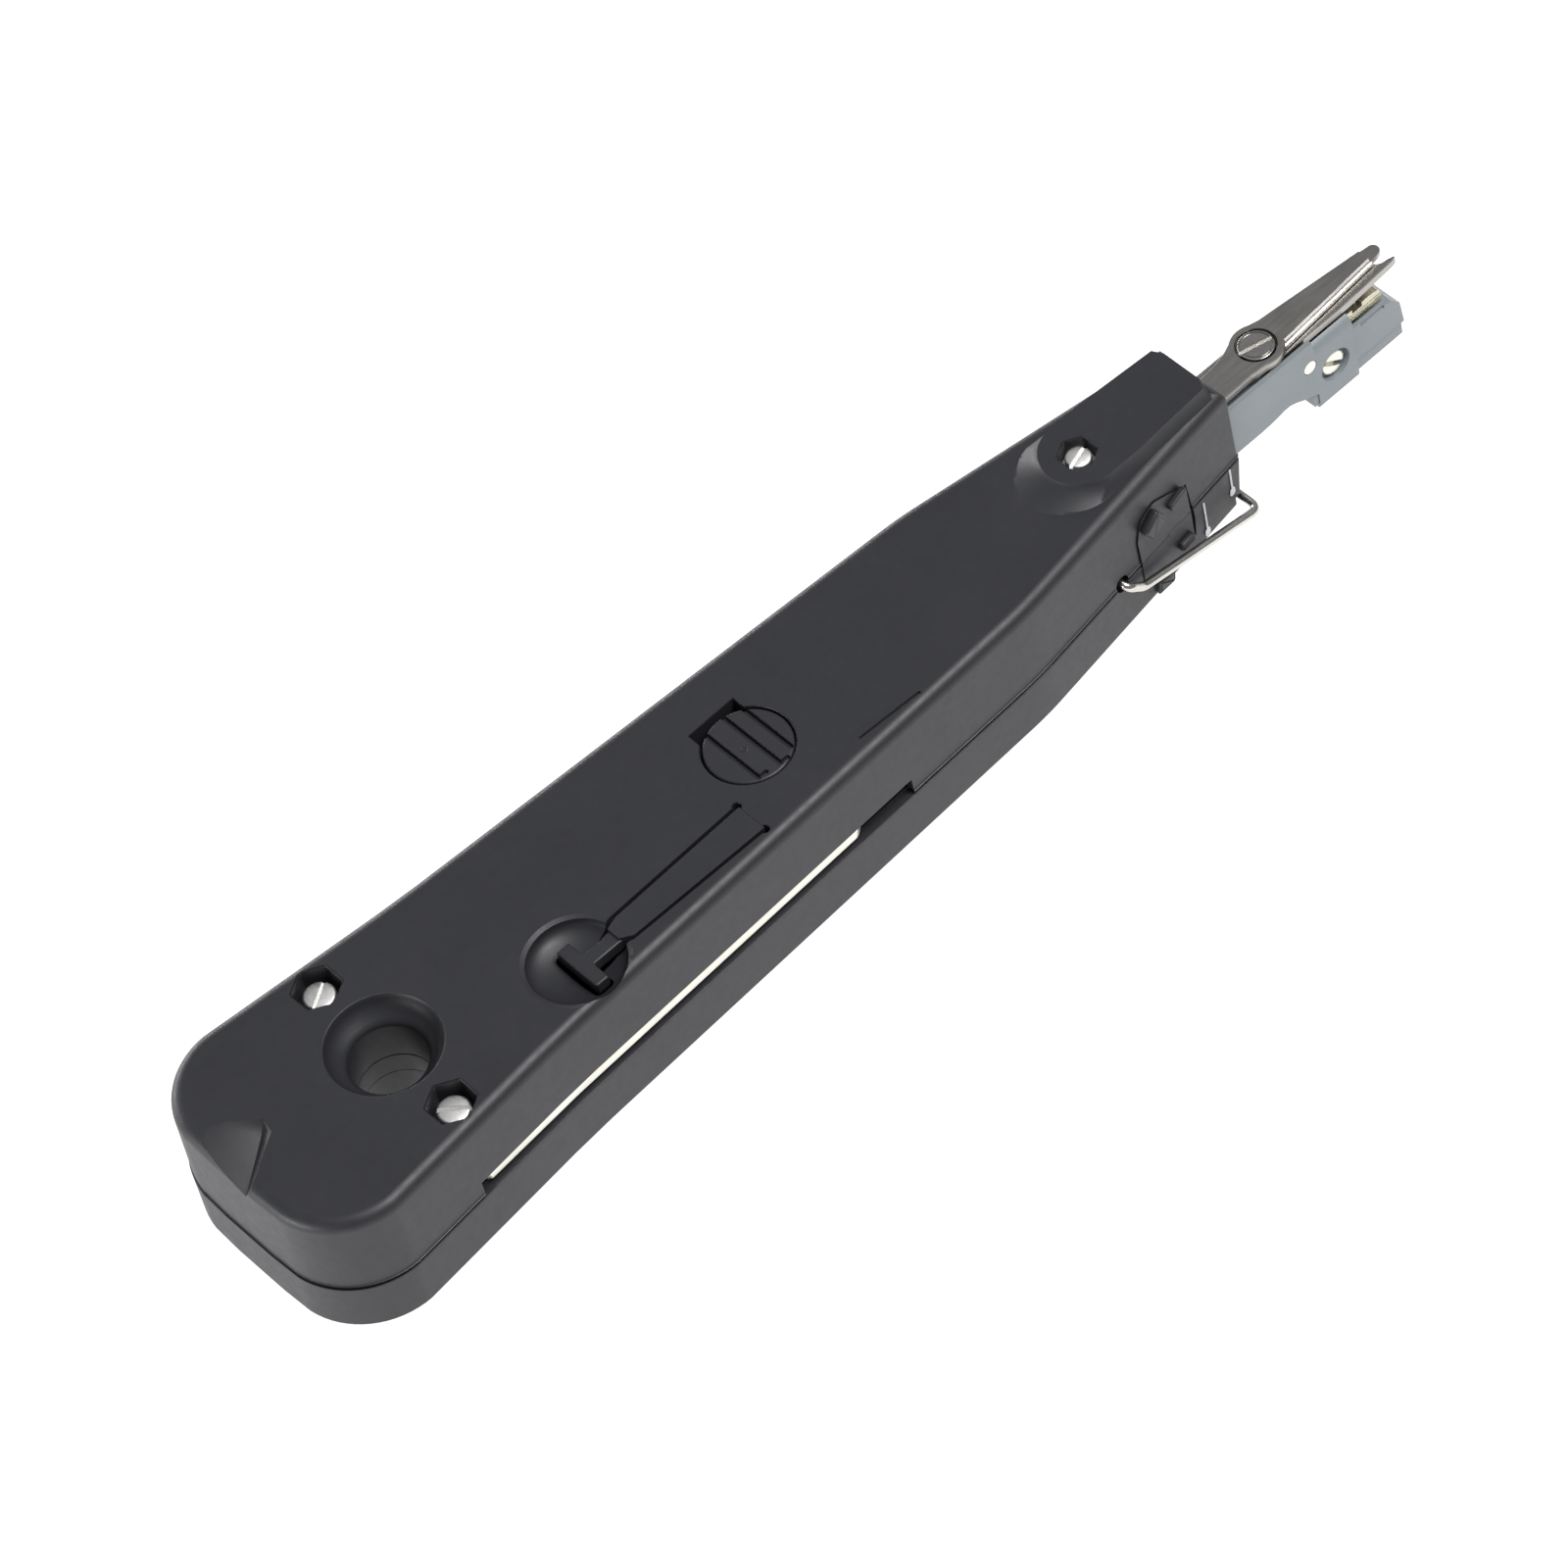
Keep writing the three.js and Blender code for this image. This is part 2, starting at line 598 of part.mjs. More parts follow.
function lockSlider() {
  const plateProfile = [
    [3.9, -5.0],
    [3.9, 4.6],
    [1.2, 6.0],
    [-1.6, 7.6],
    ...arc(-3.0, 4.2, 2.5, 90, 180, 4),
    ...arc(-3.0, -4.6, 2.5, 180, 270, 4),
    [-0.4, -7.0],
  ].reverse();
  const plate = across(plateProfile, -SLIDER_FACE, -0.12);
  // Each rib: middle x, middle z, length, height, tilt in degrees, how far it stands out.
  const ribs = [
    [-2.9, 5.1, 3.1, 2.4, 30, 1.15],
    [1.7, 4.7, 3.0, 0.95, 12, 0.85],
    [2.0, -3.4, 2.4, 1.25, 0, 0.85],
    [-2.4, -6.1, 3.0, 2.0, -8, 0.8],
  ];
  let body = plate;
  ribs.forEach(([x, z, length, height, tilt, out]) => {
    const rib = box(-length / 2, length / 2, -out, 0.05 - SLIDER_FACE, -height / 2, height / 2);
    body = body.add(rib.rotate([0, -tilt, 0]).translate([x, 0, z]));
  });
  const key = box(-0.3, 1.7, -0.2, 1.9, -0.3, 0.3);
  return onRightSide(join(body, key));
}

function lockBar() {
  return onRightSide(box(-0.4, 1.8, 1.95, 2.65, -2.4, 2.4));
}

function detentSpring() {
  const bent = [
    [-6.6, 2.0],
    [-4.2, 2.0],
    [-2.6, 3.2],
    [-1.0, 2.5],
    [-1.0, 2.9],
    [-2.6, 3.6],
    [-4.4, 2.4],
    [-6.6, 2.4],
  ];
  return onRightSide(slab(bent, -1.8, 1.8));
}

// ---------- wire bail ----------
function wireBail() {
  const side = (s) => [
    [BAIL_PIVOT_X, s * 7.3, SEAM_Z],
    [BAIL_PIVOT_X, s * 9.0, SEAM_Z],
    [BAIL_PIVOT_X + 0.2, s * 9.7, SEAM_Z - 0.3],
    [BAIL_PIVOT_X + 0.8, s * 9.95, SEAM_Z - 1.1],
    [BAIL_PIVOT_X + 1.9, s * 9.95, 5.3],
    [BAIL_PIVOT_X + 3.6, s * 9.95, 4.6],
    [BAIL_BAR_X - 3.5, s * 9.5, 1.4],
    [BAIL_BAR_X - 1.4, s * 9.4, 0.85],
    [BAIL_BAR_X - 0.35, s * 8.8, BAIL_BAR_Z],
    [BAIL_BAR_X, s * 7.8, BAIL_BAR_Z],
  ];
  const points = [...side(-1), [BAIL_BAR_X, 0, BAIL_BAR_Z], ...side(1).reverse()]
    .map((p) => new THREE.Vector3(...p));
  return wire(new THREE.CatmullRomCurve3(points, false, 'centripetal'), BAIL_R, 100, 8);
}

// ---------- head ----------
function headBody() {
  const neck = across([
    [SHANK_X, HEAD_TOP_Z],
    [SHANK_X, 5.4],
    [68.5, 5.4],
    [71.0, 5.6],
    [73.2, 5.9],
    [75.0, 5.1],
    [BLOCK_X0 + 0.1, 3.8],
    [BLOCK_X0 + 0.1, HEAD_TOP_Z],
  ].reverse(), -NECK_HALF, NECK_HALF);
  const cheek = box(63.2, BLOCK_X0, -NECK_HALF, -CHEEK_HALF, HEAD_TOP_Z - 0.1, CHEEK_Z);
  const block = slab([
    [-NECK_HALF, 1.6],
    [-NECK_HALF, 10.9],
    [-NECK_HALF + 0.5, 11.7],
    [-NECK_HALF + 1.2, 12],
    [NECK_HALF - 1.2, 12],
    [NECK_HALF - 0.5, 11.7],
    [NECK_HALF, 10.9],
    [NECK_HALF, 1.6],
    [NECK_HALF - 0.35, 1.1],
    [-NECK_HALF + 0.35, 1.1],
  ].reverse(), BLOCK_X0, BLOCK_X1).rotate([90, 0, 90]);
  const foot = box(76.8, 78.5, -3.2, 3.2, 1.9, 4.4);
  const front = across([
    [BLOCK_X1 - 0.1, 3.4],
    [BLOCK_X1 - 0.1, 8.9],
    [91.0, 8.4],
    [92.2, 7.0],
    [92.5, 3.4],
  ].reverse(), -3.3, 3.3);
  const frontStep = box(BLOCK_X1 - 0.2, 92.2, -3.05, 3.05, 1.3, 3.5);
  const body = join(neck, cheek, block, foot, front, frontStep);
  return cut(
    body,
    box(FRONT_SCREW_X - 2.2, FRONT_SCREW_X + TRAVEL + 2.2, -2.2, 2.2, 0, 20),
    longPost(SHANK_X - 1, SHANK_X + 12, 0, SPRING_Z, ROD_R + 0.4),
    post(PIVOT_X, 0, 4, 14, 1.75, 16),
    post(PIVOT_X, 0, 4, 7.2, NUT_R + 0.25, 6),
    box(78.2, 94, -SENSOR_HALF - 0.3, SENSOR_HALF + 0.3, SENSOR_FLOOR_Z, 14),
    crossPost(HEAD_SCREW_X, HEAD_SCREW_Z, -6, -2.9, HEAD_SCREW_R + 0.5),
    crossPost(HEAD_SCREW_X, HEAD_SCREW_Z, -6, 6, 1.05, 14),
    crossPost(HEAD_SCREW_X, HEAD_SCREW_Z, 2.9, 6, 1.95, 6),
    crossPost(CROSS_PIN_X, CROSS_PIN_Z, -6, 6, CROSS_PIN_R + 0.2, 16),
  );
}

function sensorPlate() {
  const body = box(82.0, 90.3, -SENSOR_HALF, SENSOR_HALF, SENSOR_FLOOR_Z + 0.3, 11.0);
  return cut(body, box(85.6, 87.2, -SENSOR_HALF - 1, -1.3, 10.3, 12));
}

// ---------- scissor blades ----------
// Outlines are drawn from the pivot. side is 1 for the upper blade, whose tail leans right.
function tailOutline(side) {
  const right = [[-2.7, -2.6], [-3.6, -2.85], [-9.4, -2.95], [-15.5, -3.9], [-18.5, -4.9], [-31.5, -4.9]];
  const left = [[-31.5, 4.2], [-17, 3.0], [-9.4, 1.3], [-4.4, 1.7], [-2.4, 2.5]];
  const whole = [...left, [0, 1], [0, -1], ...right].reverse();
  return side > 0 ? whole : mirrored(whole);
}

function scissorBlade(side, prong, hub, z) {
  const high = z + SCISSOR_THICK;
  const slotEnd = (FRONT_SCREW_X - PIVOT_X) + TRAVEL;
  const sink = -side * Math.abs(slotEnd) * Math.sin(toRad(CLOSE_ANGLE));
  const half = SLEEVE_R + 0.4;
  const slotStart = FRONT_SCREW_X - PIVOT_X;
  const slot = slab([
    ...arc(slotStart, 0, half, 90, 270, 8),
    ...arc(slotEnd, sink, half, 270, 450, 8),
  ], z - 1, high + 1);
  const plan = join(
    slab(tailOutline(side), z, high),
    post(0, 0, z, high, hub, 32),
    slab(prong, z, high),
  );
  return cut(plan, slot).translate([PIVOT_X, 0, 0]);
}

function upperBlade() {
  const prong = [
    [0, -3.2],
    [2.4, -2.45],
    [17.0, -1.3],
    [18.8, -1.0],
    ...arc(19.1, -0.05, 0.85, -80, 70, 5),
    [17.7, 0.97],
    [5.0, 2.35],
    [1.6, 2.85],
    [0, 3.2],
  ];
  return cut(scissorBlade(1, prong, 3.3, UPPER_BLADE_Z), post(PIVOT_X, 0, 12, 16, 2.5, 32));
}

function lowerBlade() {
  const prong = [
    [0, -2.9],
    [2.4, -2.75],
    [12, -2.75],
    [19.9, -2.3],
    [20.7, -2.0],
    [19.9, -1.65],
    ...arc(19.3, -0.4, 1.15, 260, 130, 6),
    [17.2, 0.65],
    [2.4, 1.3],
    [0, 2.9],
  ];
  return cut(scissorBlade(-1, prong, 2.9, LOWER_BLADE_Z), post(PIVOT_X, 0, 10, 16, 1.75, 20));
}

function pivotScrew() {
  const top = UPPER_BLADE_Z + SCISSOR_THICK + 0.05;
  const slot = new THREE.BoxGeometry(6, 0.5, 0.9);
  slot.rotateZ(toRad(-9));
  slot.translate(PIVOT_X, 0, top);
  return cut(
    join(post(PIVOT_X, 0, 13.4, top, 2.25, 28), post(PIVOT_X, 0, 5.4, 14, 1.5, 16)),
    solid(slot),
  );
}

// ---------- screws and pins of the head ----------
function headScrew() {
  const headY = 0.3 - NECK_HALF;
  const slot = new THREE.BoxGeometry(6, 0.9, 0.55);
  slot.rotateY(toRad(35));
  slot.translate(HEAD_SCREW_X, headY, HEAD_SCREW_Z);
  const head = crossPost(HEAD_SCREW_X, HEAD_SCREW_Z, headY, headY + 0.55, HEAD_SCREW_R);
  return cut(join(head, crossPost(HEAD_SCREW_X, HEAD_SCREW_Z, headY + 0.4, NECK_HALF, 0.8, 14)), solid(slot));
}

function headNut() {
  const nut = crossPost(HEAD_SCREW_X, HEAD_SCREW_Z, 2.95, NECK_HALF, 1.65, 6);
  return cut(nut, crossPost(HEAD_SCREW_X, HEAD_SCREW_Z, 2, 6, 0.9, 14));
}

// ---------- spring train ----------
function springSeat() {
  const plate = box(SEAT_X, SEAT_X + 1.8, -6.5, 6.5, 2.5, 15.5);
  return cut(plate, longPost(0, 20, 0, SPRING_Z, ROD_R + 0.3));
}

function guideRod() {
  return join(
    longPost(SEAT_X, 33, 0, SPRING_Z, ROD_R),
    longPost(SEAT_X + 2.1, SEAT_X + 3.0, 0, SPRING_Z, 2.0),
  );
}

function mainSpring() {
  const curve = new HelixAlongX(SEAT_X + 2.7, SHANK_X - 0.8, 0, SPRING_Z, 2.8, 7);
  return wire(curve, 0.5, 7 * 12, 6);
}

function sensorSpring() {
  return wire(new HelixAlongX(78.7, 81.6, 0, 9.8, 0.9, 4), 0.22, 4 * 10, 5);
}

function camSleeve() {
  return cut(
    post(FRONT_SCREW_X, 0, SLEEVE_FOOT_Z, CEILING_Z - 0.1, SLEEVE_R, 20),
    post(FRONT_SCREW_X, 0, 0, 20, 1.45, 14),
  );
}

// ---------- assembly ----------
const tool = new THREE.Group();

function add(name, manifold, look) {
  const mesh = new THREE.Mesh(geometryOf(manifold), new THREE.MeshStandardMaterial(look));
  mesh.name = name;
  tool.add(mesh);
}

add('upper_shell', upperShell(), CHARCOAL);
add('lower_shell', lowerShell(), CHARCOAL);
[['right', -1], ['left', 1]].forEach(([name, side]) => {
  const y = side * REAR_SCREW_Y;
  add(`rear_screw_${name}`, screw(HOLE_X, y, REAR_HEAD_Z, 1.95, side > 0 ? 32 : -42), NICKEL);
  add(`rear_nut_${name}`, hexNut(HOLE_X, y, NUT_Z0, NUT_Z1, NUT_R, 1.3), NICKEL);
});
add('front_screw', screw(FRONT_SCREW_X, 0, FRONT_HEAD_Z, 1.7, 16), NICKEL);
add('front_nut', hexNut(FRONT_SCREW_X, 0, NUT_Z0, NUT_Z1, NUT_R, 1.3), NICKEL);
add('cam_sleeve', camSleeve(), SPRING_STEEL);

add('hook', slab(hookPlan(), HOOK_Z, HOOK_Z + FOLD_THICK), NICKEL);
add('hook_knob', knob(-KNOB_Y, TOP_Z - 0.3, -1, 16.2, HOOK_Z + FOLD_THICK + 0.1), CHARCOAL);
add('release_blade', slab(releasePlan(), BLADE_Z, BLADE_Z + FOLD_THICK), NICKEL);
add('release_knob', knob(KNOB_Y, 0.5, 1, 2.6, BLADE_Z - 0.1), CHARCOAL);
add('latch_tongue_upper', latchTongue(-1, TOP_Z, -1), CHARCOAL);
add('latch_tongue_lower', latchTongue(1, 0, 1), CHARCOAL);

add('lock_slider', lockSlider(), CHARCOAL);
add('lock_bar', lockBar(), SPRING_STEEL);
add('lock_detent_spring', detentSpring(), SPRING_STEEL);
add('wire_bail', wireBail(), NICKEL);

add('head_body', headBody(), HEAD_GREY);
add('head_cross_pin', crossPost(CROSS_PIN_X, CROSS_PIN_Z, -NECK_HALF, NECK_HALF, CROSS_PIN_R), NICKEL);
add('head_screw', headScrew(), NICKEL);
add('head_nut', headNut(), NICKEL);
add('sensor_plate', sensorPlate(), SENSOR_GILT);
add('sensor_spring', sensorSpring(), SPRING_STEEL);
add('upper_scissor_blade', upperBlade(), SATIN);
add('lower_scissor_blade', lowerBlade(), SATIN);
add('scissor_pivot_screw', pivotScrew(), NICKEL);
add('scissor_pivot_nut', hexNut(PIVOT_X, 0, 5.4, 6.9, NUT_R, 1.6), NICKEL);

add('main_spring', mainSpring(), SPRING_STEEL);
add('spring_guide_rod', guideRod(), NICKEL);
add('spring_seat', springSeat(), SPRING_STEEL);

export default tool;
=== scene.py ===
"""Looks of the punch down tool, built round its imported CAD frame.

Shapes are made in millimetres in the CAD frame and become metres in finish_piece().
+X points to the cutting head, +Y to the left side, +Z up.
"""

import math

import bmesh
import bpy
from mathutils import Matrix, Vector


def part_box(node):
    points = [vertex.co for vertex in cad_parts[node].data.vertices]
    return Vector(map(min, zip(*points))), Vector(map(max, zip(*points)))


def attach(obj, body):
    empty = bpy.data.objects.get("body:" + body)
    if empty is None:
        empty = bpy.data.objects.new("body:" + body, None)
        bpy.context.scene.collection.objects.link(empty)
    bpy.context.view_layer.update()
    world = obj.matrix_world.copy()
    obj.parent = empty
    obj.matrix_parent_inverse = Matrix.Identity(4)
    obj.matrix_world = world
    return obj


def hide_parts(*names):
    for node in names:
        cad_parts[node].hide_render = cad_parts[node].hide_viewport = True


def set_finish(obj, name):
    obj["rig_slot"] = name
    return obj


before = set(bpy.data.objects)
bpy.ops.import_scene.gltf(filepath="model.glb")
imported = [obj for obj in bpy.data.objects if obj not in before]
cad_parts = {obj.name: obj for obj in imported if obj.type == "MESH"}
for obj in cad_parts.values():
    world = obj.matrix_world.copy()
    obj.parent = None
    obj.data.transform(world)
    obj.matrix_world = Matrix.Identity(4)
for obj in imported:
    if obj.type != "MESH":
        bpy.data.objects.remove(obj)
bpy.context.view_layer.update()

MM = 1000.0


def box_mm(node):
    low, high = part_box(node)
    return low * MM, high * MM


def middle(node):
    low, high = box_mm(node)
    return (low + high) / 2


# ---------- driving dimensions, in millimetres ----------
UPPER_LOW, UPPER_HIGH = box_mm("upper_shell")
LOWER_HIGH = box_mm("lower_shell")[1]
TAIL_X = UPPER_LOW.x
FRONT_X = UPPER_HIGH.x
TAIL_HALF = UPPER_HIGH.y
BOSS_Z = UPPER_HIGH.z
SEAM_Z = (UPPER_LOW.z + LOWER_HIGH.z) / 2
TOP_Z = box_mm("latch_tongue_upper")[1].z
SEAM_GAP = UPPER_LOW.z - LOWER_HIGH.z

WAIST_X = -48.0               # the sides flare towards the tail behind this
WAIST_HALF = 14.7
BEND_X = 26.0                 # where the taper to the nose starts
BEND_REACH = 2.5
BEND_HALF = 11.2
FRONT_HALF = 5.8
FRONT_CORNER = 0.6
TAIL_CORNER_X = -74.6
TAIL_CORNER_R = 10.4
DRAFT = 0.3
TOP_EDGE = 1.6
BOTTOM_EDGE = 0.5
FRONT_LEAN = 0.8              # the lower shell's front face leans back by this much
SEAM_EDGE = 0.16              # rounding of the seam's two lips

HOLE_X = middle("rear_screw_right").x
HOLE_R = 4.6
HOLE_RIM_R = 6.9
REAR_SCREW_Y = middle("rear_screw_left").y
REAR_HEAD_Z = box_mm("rear_screw_left")[1].z
FRONT_SCREW_X = middle("front_screw").x
FRONT_HEAD_Z = box_mm("front_screw")[1].z

KNOB = middle("hook_knob")
KNOB_X, KNOB_Y = KNOB.x, KNOB.y
KNOB_R = (box_mm("hook_knob")[1].x - box_mm("hook_knob")[0].x) / 2
KNOB_SHAFT_R = 3.0
HOOK_LOW, HOOK_HIGH = box_mm("hook")
BLADE_LOW, BLADE_HIGH = box_mm("release_blade")
SLOT_DEPTH = 2.1
SLOT_REAR_X = -64.0
SLOT_FRONT_X = 5.3
SWEEP_R = 14.7

DISH_X = -40.2                # finger dish round the latch's free end
DISH_Y = -7.9
DISH_R = 6.4
ROOT_X = -14.03               # root of the latch tongue

PIVOT = middle("scissor_pivot_screw")
PIVOT_X = PIVOT.x
UPPER_BLADE_Z = box_mm("upper_scissor_blade")[0].z
LOWER_BLADE_Z = box_mm("lower_scissor_blade")[0].z
BLADE_THICK = 1.1
TRAVEL = 8                    # how far the head goes in

SLIDER_X = 50.2
SIDE_ANGLE = math.atan2(BEND_HALF - FRONT_HALF, FRONT_X - BEND_X)
BAIL_LOW, BAIL_HIGH = box_mm("wire_bail")
BAIL_R = 0.55
BAIL_BAR_X = BAIL_HIGH.x - BAIL_R
BAIL_PIVOT_X = 41.4

SHANK_X = 30                  # rear face of the head's shank
NECK_HALF = 3.8
CHEEK_HALF = 3.15
CHEEK_Z = 13.2
NECK_TOP_Z = 11.9
NECK_LOW_Z = 5.4
BLOCK_X0 = 77.9
BLOCK_X1 = 84.3
HEAD_END_X = box_mm("head_body")[1].x
SENSOR_LOW, SENSOR_HIGH = box_mm("sensor_plate")
HEAD_SCREW = middle("head_screw")
HEAD_SCREW_R = 1.75
CROSS_PIN = middle("head_cross_pin")
CROSS_PIN_R = 0.95

SIDE_WALL = 1.6               # walls beside the head
REAR_WALL = 2.2               # walls beside the latches
NOSE_WALL = 1.5
REAR_SKIN = 2.8               # both faces over the rear room
FLOOR_Z = 2.2
CEILING_Z = 16.6
REAR_ROOM_X0 = -54
REAR_ROOM_X1 = -15.5
FRONT_ROOM_X0 = 8
MOUTH_X0 = 60                 # opening that the head slides through
MOUTH_X1 = 66
MOUTH_HALF = 4.05
MOUTH_FLOOR_Z = 4.2
MOUTH_TOP_Z = 15.2
POCKET_R = 3.0                # hexagonal pockets of the rear screws
POCKET_SUNK = 1.9             # their floor lies this far below the screw heads
REAR_HEAD_R = 1.95
FRONT_HEAD_R = 1.62
SCREW_ROOM_R = 1.5
SCREW_R = 1.2
SCREW_TIP_Z = 0.9
NUT_R = 2.3
NUT_Z0 = 0.3
NUT_Z1 = 1.7
HUB_R = 5                     # hubs of the two fold-out tools
FOLD_INSET = 0.45             # the folded tools lie this far inside the side
BAIL_HOLE_R = 1.1
REBATE = 1.0                  # room behind the bail's bar, under the nose


# ---------- outlines ----------
def arc(x, y, radius, start, end, steps):
    """Points on an arc, with its angles in degrees."""
    angles = [math.radians(start + (end - start) * i / steps) for i in range(steps + 1)]
    return [(x + radius * math.cos(a), y + radius * math.sin(a)) for a in angles]


def circle(x, y, radius, steps=48):
    return arc(x, y, radius, 0, 360 - 360 / steps, steps - 1)


def mirrored(points):
    return [(x, -y) for x, y in reversed(points)]


def grow(points, distance):
    """The closed outline result outward by a distance, or inward if it is negative."""
    result = []
    for i, (x, y) in enumerate(points):
        before = Vector((x, y)) - Vector(points[i - 1])
        after = Vector(points[(i + 1) % len(points)]) - Vector((x, y))
        before.normalize()
        after.normalize()
        normal = Vector((before.y + after.y, -before.x - after.x))
        scale = distance / max(0.3, 1 + before.dot(after))
        result.append((x + normal.x * scale, y + normal.y * scale))
    return result


def rounded(points, radius, steps=5):
    """The closed outline with its corners rounded; radius is one number or one for each corner."""
    radii = radius if isinstance(radius, (list, tuple)) else [radius] * len(points)
    result = []
    for i, corner in enumerate(points):
        here = Vector(corner)
        back = Vector(points[i - 1]) - here
        ahead = Vector(points[(i + 1) % len(points)]) - here
        if radii[i] <= 0:
            result.append((here.x, here.y))
            continue
        half = back.angle(ahead) / 2
        reach = min(radii[i] / math.tan(half), 0.48 * back.length, 0.48 * ahead.length)
        start = here + back.normalized() * reach
        end = here + ahead.normalized() * reach
        weight = math.sin(half)
        for k in range(steps + 1):
            t = k / steps
            a, b, c = (1 - t) ** 2, 2 * weight * t * (1 - t), t * t
            point = (start * a + here * b + end * c) / (a + b + c)
            result.append((point.x, point.y))
    return result


def capsule(start, end, radius, steps=6):
    """A straight slot with round ends."""
    angle = math.degrees(math.atan2(end[1] - start[1], end[0] - start[0]))
    return (
        arc(*end, radius, angle - 90, angle + 90, steps)
        + arc(*start, radius, angle + 90, angle + 270, steps)
    )


def half_width(x):
    """Half width of the casing at the seam."""
    flare = (TAIL_HALF - WAIST_HALF) / (WAIST_X - TAIL_CORNER_X)
    rear_slope = (WAIST_HALF - BEND_HALF) / (BEND_X - WAIST_X)
    front_slope = (BEND_HALF - FRONT_HALF) / (FRONT_X - BEND_X)
    start = BEND_X - BEND_REACH
    end = BEND_X + BEND_REACH
    if x <= WAIST_X:
        return WAIST_HALF + flare * (WAIST_X - x)
    if x <= start:
        return BEND_HALF + rear_slope * (BEND_X - x)
    if x >= end:
        return BEND_HALF - front_slope * (x - BEND_X)
    t = (x - start) / (end - start)
    return (1 - t) ** 2 * half_width(start) + 2 * t * (1 - t) * BEND_HALF + t ** 2 * half_width(end)


def casing_outline(inset, back=None):
    """Plan of the casing, drawn in by an inset; the front face may be set back further."""
    corner = max(FRONT_CORNER - inset, 0.1)
    corner_x = FRONT_X - (inset if back is None else back) - corner
    corner_y = half_width(FRONT_X) - inset - corner
    bend = [BEND_X + BEND_REACH * (1 - k / 6) for k in range(13)]
    left = arc(corner_x, corner_y, corner, 0, 82, 4)
    left += [(x, half_width(x) - inset) for x in bend]
    left += [(x, half_width(x) - inset) for x in (WAIST_X + 3, WAIST_X - 3)]
    left += arc(TAIL_CORNER_X, TAIL_HALF - TAIL_CORNER_R, TAIL_CORNER_R - inset, 90, 172, 16)
    left.append((TAIL_X + inset, 4.0))
    return left + mirrored(left)


# ---------- meshes ----------
def new_object(name, vertices, faces):
    """A mesh object with its faces turned outward."""
    shape = bmesh.new()
    corners = [shape.verts.new(v) for v in vertices]
    for face in faces:
        shape.faces.new([corners[i] for i in face])
    bmesh.ops.recalc_face_normals(shape, faces=shape.faces)
    mesh = bpy.data.meshes.new(name)
    shape.to_mesh(mesh)
    shape.free()
    thing = bpy.data.objects.new(name, mesh)
    bpy.context.scene.collection.objects.link(thing)
    return thing


def loft(levels, name="shape"):
    """A closed skin over [(outline, z), ...], bottom first, all outlines with equally many points."""
    count = len(levels[0][0])
    vertices = [(x, y, z) for outline, z in levels for x, y in outline]
    return skin(vertices, count, name)


def skin(vertices, count, name="shape"):
    """A closed skin over rings of count vertices each."""
    rings = len(vertices) // count
    faces = [tuple(reversed(range(count)))]
    for level in range(rings - 1):
        for i in range(count):
            a = level * count + i
            b = level * count + (i + 1) % count
            faces.append((a, b, b + count, a + count))
    faces.append(tuple(range((rings - 1) * count, rings * count)))
    return new_object(name, vertices, faces)


def quarter(edge, steps=4):
    """(inset, drop) pairs of a rounded edge, from its side to its face."""
    angles = [math.pi / 2 * k / steps for k in range(steps + 1)]
    return [(edge * (1 - math.cos(a)), edge * (1 - math.sin(a))) for a in angles]


def pad(outline, low, high, top=0.0, bottom=0.0, steps=4):
    """A prism along Z with rounded top and bottom edges."""
    levels = []
    if bottom:
        levels += [(grow(outline, -i), low + d) for i, d in reversed(quarter(bottom, steps))]
    else:
        levels.append((outline, low))
    if top:
        levels += [(grow(outline, -i), high - d) for i, d in quarter(top, steps)]
    else:
        levels.append((outline, high))
    return loft(levels)


def well(outline, face, floor, lip=0.15, steps=3):
    """A cutter that sinks an outline into a face from above and rounds the lip."""
    levels = [(outline, floor), (outline, face - lip)]
    levels += [(grow(outline, lip - i), face - lip + d)
               for i, d in reversed([(e, lip - f) for e, f in quarter(lip, steps)])][1:]
    levels.append((grow(outline, lip), face + 1.5))
    return loft(levels)


def rings_of(profile, x, y, steps=64):
    """A solid of revolution about a vertical line; profile is [(radius, z), ...], bottom first."""
    return loft([(circle(x, y, r, steps), z) for r, z in profile])


def block(low, high):
    (x0, y0, z0), (x1, y1, z1) = low, high
    return loft([([(x0, y0), (x1, y0), (x1, y1), (x0, y1)], z) for z in (z0, z1)])


def moved(thing, matrix):
    thing.data.transform(matrix)
    return thing


UPRIGHT = Matrix.Rotation(math.pi / 2, 4, "X")


def across(profile, y0, y1, edge=0.0, steps=3):
    """An XZ profile pulled across from y0 to y1, its edges rounded at both ends."""
    return moved(pad(profile, -y1, -y0, edge, edge, steps), UPRIGHT)


def turned_over(thing):
    """The same feature on the underside: turned half round the X axis."""
    flip = Matrix.Translation((0, 0, TOP_Z)) @ Matrix.Rotation(math.pi, 4, "X")
    return moved(thing, flip)


def applied(thing):
    """Makes the modifiers of an object real."""
    graph = bpy.context.evaluated_depsgraph_get()
    mesh = bpy.data.meshes.new_from_object(thing.evaluated_get(graph))
    thing.modifiers.clear()
    thing.data = mesh
    return thing


def combine(body, tools, operation):
    for tool in tools:
        change = body.modifiers.new(operation, "BOOLEAN")
        change.object = tool
        change.operation = operation
        change.solver = "MANIFOLD"
    applied(body)
    for tool in tools:
        bpy.data.objects.remove(tool)
    return body


def cut(body, *tools):
    return combine(body, tools, "DIFFERENCE")


def join(body, *tools):
    return combine(body, tools, "UNION")


